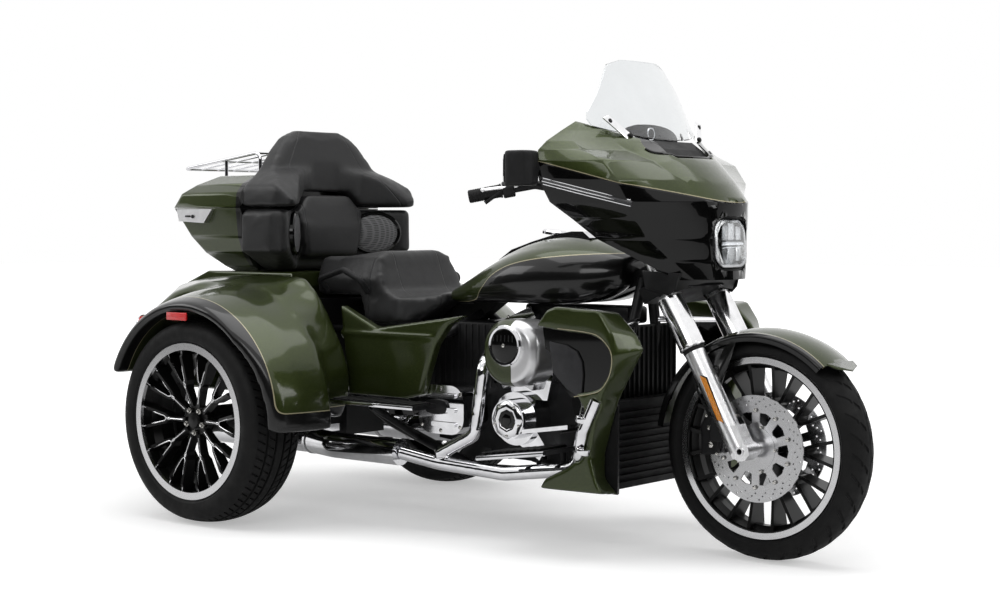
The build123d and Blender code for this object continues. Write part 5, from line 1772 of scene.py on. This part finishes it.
@dataclass
class Seats(Bench):
    """Rider and passenger seat, the two backrests, speakers and grab handles."""

    speaker: Triple = (-703.0, 196.6, 912.0)
    across: Triple = (0.6112, 0.7915, 0.0)
    normal: Triple = (0.7915, -0.6112, 0.0)
    stretch: float = 1.26

    def build(self) -> None:
        """Makes the pads and colours their neighbours."""
        Pad(
            "seat", Body.CHASSIS, 8.0, 5.0, 0.85,
            (
                lambda g: g.math("SUBTRACT", g.math("ABSOLUTE", g.y), 0.105),
                lambda g: g.math("ADD", g.x, 0.352),
            ),
        ).build(self)
        Pad(
            "backrest_lower", Body.CHASSIS, 10.0, 4.0, 0.85,
            (lambda g: g.math("SUBTRACT", g.math("ABSOLUTE", g.y), 0.128),),
        ).build(self)
        Pad(
            "backrest_upper", Body.BOX_LID, 9.0, 4.0, 0.85,
            (
                lambda g: g.math(
                    "SUBTRACT", g.math("ADD", g.math("ABSOLUTE", g.y), g.math("MULTIPLY", g.z, 0.62)), 0.877
                ),
            ),
        ).build(self)
        self.paint(BLACK_PLASTIC, "grab_handles", "speaker_pods")
        self.speakers()

    def speakers(self) -> None:
        """Domed grilles, each in a ring."""
        across, normal = Vector(self.across), Vector(self.normal)
        centre = mm(*self.speaker) + normal * 0.006
        ring = self.lathe([(62, -2), (62, 11), (70, 13), (74, 8), (74, -2)], centre, normal, 56, True)
        cloth = self.lathe([(66, 9), (50, 12), (26, 14), (0, 14.5)], centre, normal, 48)
        oval = Matrix.Scale(self.stretch, 4, across)
        for shape in (ring, cloth):
            shape.data.transform(Matrix.Translation(centre) @ oval @ Matrix.Translation(-centre))
        self.hand_in("speaker_rings", self.both([ring]), BLACK_GLOSS, Body.CHASSIS, "trim_black")
        self.hand_in("speaker_grilles", self.both([cloth]), GRILLE, Body.CHASSIS, "trim_black")


@dataclass
class Luggage(Bench):
    """Top box, trunk, latch, rack and tail lamps."""

    black_from: float = -0.835
    tail_lamp: Triple = (-1201.0, -423.8, 600.1)
    tail_axis: Triple = (-62.0, -12.0, -6.0)

    def build(self) -> None:
        """Makes the luggage trim and colours its nodes."""
        black_ends = Border(lambda g: g.math("SUBTRACT", self.black_from, g.x), 0.0)
        Skin("top_box", Body.CHASSIS, Paint("olive_top_box", black_ends), "olive_paint").build(self)
        Skin("box_lid", Body.BOX_LID, Paint("olive_box_lid", black_ends), "olive_paint").build(self)
        Skin("trunk", Body.CHASSIS, OLIVE, "olive_paint").build(self)
        self.paint(OLIVE, "trunk_door")
        self.paint(LATCH, "box_latch")
        self.paint(CHROME, "luggage_rack")
        self.paint(RED, "tail_lamps")
        key = self.rod(mm(-1040, -336, 968), mm(-1040, -341, 968), 6.0)
        slot = self.block((-1078, -339.4, 966), (-1052, -336.5, 972), 1.0)
        self.hand_in("latch_lock", [key, slot], BLACK_SATIN, Body.CHASSIS, "trim_black")
        self.lamp_rings()
        self.door_trim()

    def lamp_rings(self) -> None:
        """Bright bezels round the tail lamps."""
        profile = [(29.5, -6), (29.5, 2), (32.5, 3), (34, 0), (34, -6)]
        ring = self.lathe(profile, mm(*self.tail_lamp), Vector(self.tail_axis), 40, True)
        self.hand_in("tail_lamp_rings", self.both([ring]), CHROME, Body.CHASSIS, "bright_metal")

    def door_trim(self) -> None:
        """Handle on the trunk door."""
        handle = self.block((-1238, -70, 560), (-1230, 70, 580), 4.0)
        self.hand_in("door_handle", handle, CHROME, Body.TRUNK_DOOR, "bright_metal")


# Engine


@dataclass
class Engine(Bench):
    """Brightwork of the V-twin: covers, tappet blocks, pushrod tubes, air cleaner and exhaust."""

    crank: Pair = (265.0, 400.0)
    cam: Triple = (256.0, -240.0, 362.0)
    lean: float = 22.5
    gearbox: Pair = (-14.0, 384.0)
    cleaner: Triple = (336.0, -352.0, 592.0)
    clutch: Triple = (-20.0, 230.0, 360.0)
    muffler: Triple = (-1318.0, 235.0, 236.0)
    bands: Triple = (-560.0, -1240.0, -700.0)
    tappet_height: float = 0.082
    tube_height: float = 0.088
    tube_length: float = 0.125
    rocker_height: float = 0.293

    def build(self) -> None:
        """Makes the engine's pieces and colours its nodes."""
        self.paint(BLACK_ENGINE, "crankcase", "gearbox", "cylinders")
        self.paint(
            CHROME, "rocker_covers", "cam_cover", "primary_cover", "gearbox_cover", "mufflers", "foot_levers"
        )
        Skin("exhaust_pipes", Body.CHASSIS, CHROME, "bright_metal", 60.0, 3.0, 16).build(self)
        self.inner_parts()
        self.cam_cover()
        self.tappets()
        self.gearbox_cover()
        self.rockers()
        self.air_cleaner()
        self.exhaust()
        self.primary()

    def inner_parts(self) -> None:
        """Battery box, coil cover and splash panel, which close the view through the engine."""
        box = self.block((-230, -118, 430), (105, 118, 640), 8.0)
        ribs = [self.block((-225 + 26 * i, -121, 440), (-217 + 26 * i, 121, 632), 1.5) for i in range(13)]
        coil = self.block((170, -52, 648), (560, 52, 700), 10.0)
        splash = self.block((584, -150, 430), (590, 150, 648), 2.0)
        fins = [self.block((589, -146 + 24 * i, 436), (596, -140 + 24 * i, 642), 1.0) for i in range(13)]
        self.hand_in(
            "engine_surround", [box, coil, splash] + ribs + fins, BLACK_SATIN, Body.CHASSIS, "frame_black"
        )

    def cam_cover(self) -> None:
        """Faceted bright ring with a black middle, five screws round it."""
        x, y, z = self.cam
        centre = mm(x, y, z)
        out = Vector((0, -1, 0))
        ring = self.lathe([(30, -2), (30, 5), (40, 7), (56, 3), (61, -2)], centre, out, 8, True)
        self.soften(ring, 1.5)
        self.hand_in("cam_ring", ring, CHROME, Body.CHASSIS, "bright_metal")
        middle = self.lathe([(30, 0), (29, 4), (10, 5), (0, 5)], centre, out, 40)
        plug = self.lathe([(18, 3.5), (18, 6.2), (14, 7), (0, 7)], centre, out, 6)
        self.hand_in("cam_middle", [middle, plug], BLACK_GLOSS, Body.CHASSIS, "black_paint")
        screw = self.rod(mm(x + 48, y - 2, z), mm(x + 48, y - 8, z), 4.5, 3.8)
        self.hand_in(
            "cam_screws", self.around(screw, centre, Vector((0, 1, 0)), 5, 18), SCREW, Body.CHASSIS,
            "disc_steel",
        )

    def tappets(self) -> None:
        """Tappet blocks and bright pushrod tubes, two by two, leaning with the cylinders."""
        blocks, tubes = [], []
        for lean in (self.lean, -self.lean):
            axis = Vector((math.sin(math.radians(lean)), 0.0, math.cos(math.radians(lean))))
            base = mm(self.crank[0], -186.0, self.crank[1])
            for shift in (-15.0, 15.0):
                foot = base + axis * self.tube_height + Vector((shift * MM, 0, 0))
                tubes.append(self.rod(foot, foot + axis * self.tube_length, 8.8))
                for wide, low, high, rise in ((12.5, 7, 9, 0.03), (13.5, 9, 12, 0.002)):
                    profile = [(9, 0), (wide, 0), (wide, low), (9, high)]
                    tubes.append(self.lathe(profile, foot + axis * rise, axis, 24, True))
            mid = base + axis * self.tappet_height
            block = self.block((-34, -20, -16), (34, 20, 16), 5.0)
            turn = Matrix.Translation(mid) @ Matrix.Rotation(math.radians(lean), 4, "Y")
            block.data.transform(turn)
            blocks.append(block)
        self.hand_in("tappet_blocks", blocks, CAST, Body.CHASSIS, "bright_metal")
        self.hand_in("pushrod_tubes", tubes, CHROME, Body.CHASSIS, "bright_metal")

    def gearbox_cover(self) -> None:
        """Black oval inset and screws on the bright gearbox cover."""
        outline = []
        for i in range(24):
            turn = 2 * math.pi * i / 24
            squash = max(abs(math.cos(turn)), abs(math.sin(turn))) ** 0.4
            x = self.gearbox[0] + 44 * math.cos(turn) / squash
            outline.append((x, -249.0, self.gearbox[1] + 23 * math.sin(turn) / squash))
        inset = self.plate(outline, (0, -10.0, 0), 1.5)
        self.hand_in("cover_inset", inset, BLACK_SATIN, Body.CHASSIS, "trim_black")
        screws = []
        for dx, dz in ((-78, -50), (-78, 50), (78, -50), (78, 50), (0, 64), (0, -64)):
            start = mm(dx, -243, 376 + dz)
            screws.append(self.rod(start, start + mm(0, -8, 0), 7.5, 6.5))
        self.hand_in("cover_screws", screws, SCREW, Body.CHASSIS, "disc_steel")

    def rockers(self) -> None:
        """Screws on the rocker covers' corners."""
        screws = []
        for lean in (self.lean, -self.lean):
            axis = Vector((math.sin(math.radians(lean)), 0.0, math.cos(math.radians(lean))))
            side = Vector((axis.z, 0.0, -axis.x))
            base = mm(self.crank[0], 0, self.crank[1]) + axis * self.rocker_height
            for along in (-42, 42):
                for across in (-62, 0, 62):
                    spot = base + side * along * MM + mm(0, across, 0)
                    screws.append(self.rod(spot - axis * 0.002, spot + axis * 0.006, 5.5, 4.5, 12))
        self.hand_in("rocker_screws", screws, SCREW, Body.CHASSIS, "disc_steel")

    def air_cleaner(self) -> None:
        """Olive and bright body with a ringed black face."""
        front_half = Border(lambda g: g.math("SUBTRACT", 0.352, g.x), 0.0)
        cleaner = Paint("olive_air_cleaner", front_half, black=(0.62, 0.62, 0.63), dark_metal=1.0)
        Skin("air_cleaner", Body.CHASSIS, cleaner, "olive_paint", 60.0, 3.5, 18).build(self)
        centre = mm(*self.cleaner)
        out = Vector((0, -1, 0))
        ring = self.lathe([(50, -3), (50, 3), (56, 4), (60, 0), (60, -3)], centre, out, 56, True)
        self.hand_in("cleaner_ring", ring, CHROME, Body.CHASSIS, "bright_metal")
        face = self.lathe([(50, 1), (46, 2.5), (20, 4), (0, 4.4)], centre, out, 48)
        self.hand_in("cleaner_face", face, BLACK_GLOSS, Body.CHASSIS, "black_paint")
        screw = self.rod(centre + out * 0.003, centre + out * 0.008, 6.0, 5.0)
        self.hand_in("cleaner_screw", screw, SCREW, Body.CHASSIS, "disc_steel")
        slat = self.block((296, -356.2, 604), (300, -354.0, 622), 0.8)
        slats = [self.copy(slat, Matrix.Translation(mm(i * 14, 0, 0))) for i in range(6)]
        bpy.data.objects.remove(slat)
        self.hand_in("cleaner_slats", slats, BLACK_SATIN, Body.CHASSIS, "trim_black")

    def exhaust(self) -> None:
        """Muffler end rings and bands, and black plugs in the mouths as painted shade of the pipes' insides.
        """
        shapes = []
        for side in (RIGHT, LEFT):
            end = mm(self.muffler[0], self.muffler[1] * side, self.muffler[2])
            profile = [(37, -4), (37, 2), (42.5, 3), (43, -14), (41.2, -14)]
            shapes.append(self.lathe(profile, end, Vector((-1, 0, 0)), 40, True))
            for x in self.bands:
                y = (280 - 45 * min(1.0, max(0.0, (-x - 426) / 149))) * side
                profile = [(41, -7), (43.4, -7), (43.4, 7), (41, 7)]
                shapes.append(self.lathe(profile, mm(x, y, 236), Vector((1, 0, 0)), 40, True))
        self.hand_in("muffler_bands", shapes, CAST, Body.CHASSIS, "bright_metal")
        # Black plug set into each muffler mouth: painted shade of the pipe's dark inside.
        mouth = self.rod(mm(-1296, -236, 235), mm(-1260, -236, 235), 35.5)
        self.hand_in("muffler_mouth_shade", self.both([mouth]), BLACK_ENGINE, Body.CHASSIS, "frame_black")

    def primary(self) -> None:
        """Round clutch cover, small inspection cover and screws on the left case."""
        out = Vector((0, 1, 0))
        profile = [(62, -2), (61, 4), (56, 8), (40, 8), (37, 6), (0, 6)]
        clutch = self.lathe(profile, mm(*self.clutch), out, 56)
        covers = [clutch, self.lathe([(30, -2), (29, 3), (25, 6), (0, 6)], mm(205, 230, 360), out, 40)]
        self.hand_in("primary_trim", covers, CHROME, Body.CHASSIS, "bright_metal")
        screws = []
        for x, z in (
            (-118, 343), (-118, 387), (-78, 424), (90, 425), (282, 424), (323, 387), (323, 343), (282, 296),
            (90, 295), (-78, 296), (-20, 313), (-20, 407), (-67, 360), (27, 360),
        ):
            near = abs(x - self.clutch[0]) <= 50 and abs(z - self.clutch[2]) <= 50
            start = mm(x, 236 if near else 229, z)
            screws.append(self.rod(start, start + mm(0, 5, 0), 5.5, 4.5, 12))
        self.hand_in("primary_screws", screws, SCREW, Body.CHASSIS, "disc_steel")


# Panels, boards and guards


@dataclass
class Panels(Bench):
    """Tank, fenders, side covers, leg fairings, pocket trim, side markers and fuel cap."""

    tank_line: tuple[Pair, ...] = (
        (-0.10, 0.700), (0.033, 0.709), (0.073, 0.741), (0.153, 0.804), (0.231, 0.829), (0.383, 0.849),
        (0.56, 0.858),
    )
    leg_face: float = -388.3
    pocket_middle: Pair = (640.0, 560.0)

    def build(self) -> None:
        """Colours the panels and adds their trim."""
        tank = Border(lambda g: g.math("SUBTRACT", g.z, g.curve(g.x, self.tank_line)))
        Skin("fuel_tank", Body.CHASSIS, Paint("olive_tank", tank), "olive_paint", 60.0, 5.0, 30).build(self)
        self.paint(CHROME, "tank_console")
        wing = Border(
            lambda g: g.math(
                "SMOOTH_MIN", g.math("SUBTRACT", 0.642, g.math("ABSOLUTE", g.y)),
                g.math("SUBTRACT", g.z, g.remap(g.x, -0.72, -0.69, -1.0, 0.372)), 0.045,
            )
        )
        Skin(
            "rear_fenders", Body.CHASSIS, Paint("olive_wings", wing), "olive_paint", 60.0, 6.0, 70
        ).build(self)
        Skin("side_covers", Body.CHASSIS, OLIVE, "olive_paint", 60.0, 4.5, 14).build(self)
        Skin("leg_fairings", Body.CHASSIS, OLIVE, "olive_paint", 60.0, 4.5, 24).build(self)
        self.paint(BLACK_GLOSS, "leg_pockets")
        self.paint(BLACK_PLASTIC, "radiator_housing")
        self.paint(BLACK_SATIN, "frame", "rear_axle")
        self.markers()
        self.fuel_caps()
        self.pocket_stripe()

    def markers(self) -> None:
        """Red side markers on the wings' lips."""
        lens = self.block((-755, -694.0, 643), (-662, -686, 668), 3.0)
        self.hand_in("side_markers", self.both([lens]), RED, Body.CHASSIS, "lamp_red")

    def pocket_stripe(self) -> None:
        """Tan stripe round each leg fairing's opening, and the grey panel over its pocket's rear part."""
        edge = (
            (618, 473), (676, 484), (703, 494), (730, 531), (738, 573), (730, 600), (702, 626), (668, 638),
            (564, 645),
        )
        path = []
        for x, z in edge:
            away = Vector((x - self.pocket_middle[0], 0.0, z - self.pocket_middle[1])).normalized() * 9.0
            path.append((x + away.x, self.leg_face, z + away.z))
        self.hand_in("pocket_stripes", self.both([self.pipe(path, 1.3)]), STRIPE, Body.CHASSIS, "olive_paint")
        outline = (
            (498, 612), (560, 604), (596, 588), (614, 558), (618, 520), (612, 454), (560, 480), (510, 524)
        )
        panel = self.plate([(x, -343.0, z) for x, z in outline], (0, -8.0, 0), 3.0)
        grey = Grained("panel_grey", (0.028, 0.028, 0.030), 0.4)
        self.hand_in("pocket_panels", self.both([panel]), grey, Body.CHASSIS, "trim_black")

    def fuel_caps(self) -> None:
        """A low round cap on the tank's middle line."""
        cap = self.lathe([(38, -4), (38, 4), (33, 9), (0, 11)], mm(246, 0, 916), Vector((0.12, 0, 1)), 48)
        self.hand_in("fuel_cap", cap, CHROME, Body.CHASSIS, "bright_metal")


@dataclass
class FootGear(Bench):
    """Engine guard and boards, with their rubbers, edges and clamps."""

    slope: float = 0.1401
    board: Pair = (284.0, 275.0)

    def build(self) -> None:
        """Makes the boards' rubbers and colours the nodes."""
        self.paint(CHROME, "engine_guard")
        self.paint(BLACK_SATIN, "rider_boards", "passenger_boards")
        self.rubbers()
        self.edges()
        self.clamps()

    def rubbers(self) -> None:
        """Ribbed rubbers on the boards."""
        ribs = []
        for i in range(9):
            x = 305.0 + i * 25.0
            z = self.board[1] + (x - self.board[0]) * self.slope + 3.0
            ribs.append(self.block((x - 8, -410, z - 2), (x + 8, -285, z + 4.5), 2.0))
        for i in range(11):
            x = -292.0 + i * 31.0
            ribs.append(self.block((x - 10, -412, 401), (x + 10, -328, 406), 2.0))
        self.hand_in("board_rubbers", self.both(ribs), RUBBER_PAD, Body.CHASSIS, "trim_black")

    def edges(self) -> None:
        """Bright strips along the boards' outer edges."""
        strips = [self.pipe([(290, -421, 268), (420, -421, 286), (536, -421, 302)], 7.0, False)]
        strips.append(self.block((-306, -424, 389), (40, -419, 401), 2.0))
        self.hand_in("board_edges", self.both(strips), CHROME, Body.CHASSIS, "bright_metal")

    def clamps(self) -> None:
        """Clamps on the engine guard where the pegs sit."""
        shapes = []
        for z in (316.0, 404.0):
            shapes.append(self.rod(mm(648, -392, z - 9), mm(652, -392, z + 9), 21.0))
        self.hand_in("guard_clamps", self.both(shapes), CHROME, Body.CHASSIS, "bright_metal")


def main() -> None:
    """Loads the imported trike, builds the studio and every sub-assembly in order."""
    logging.basicConfig(level=logging.INFO, format="%(name)s: %(message)s")
    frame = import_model()
    nodes: dict[str, Shape] = frame["nodes"]
    shop = Shop()
    Studio().build()
    for assembly in (Wheels, Fork, Fairing, Cockpit, Seats, Luggage, Engine, Panels, FootGear):
        assembly(shop, nodes).build()
        log.info("%s done", assembly.__name__)


if __name__ == "__main__":
    main()
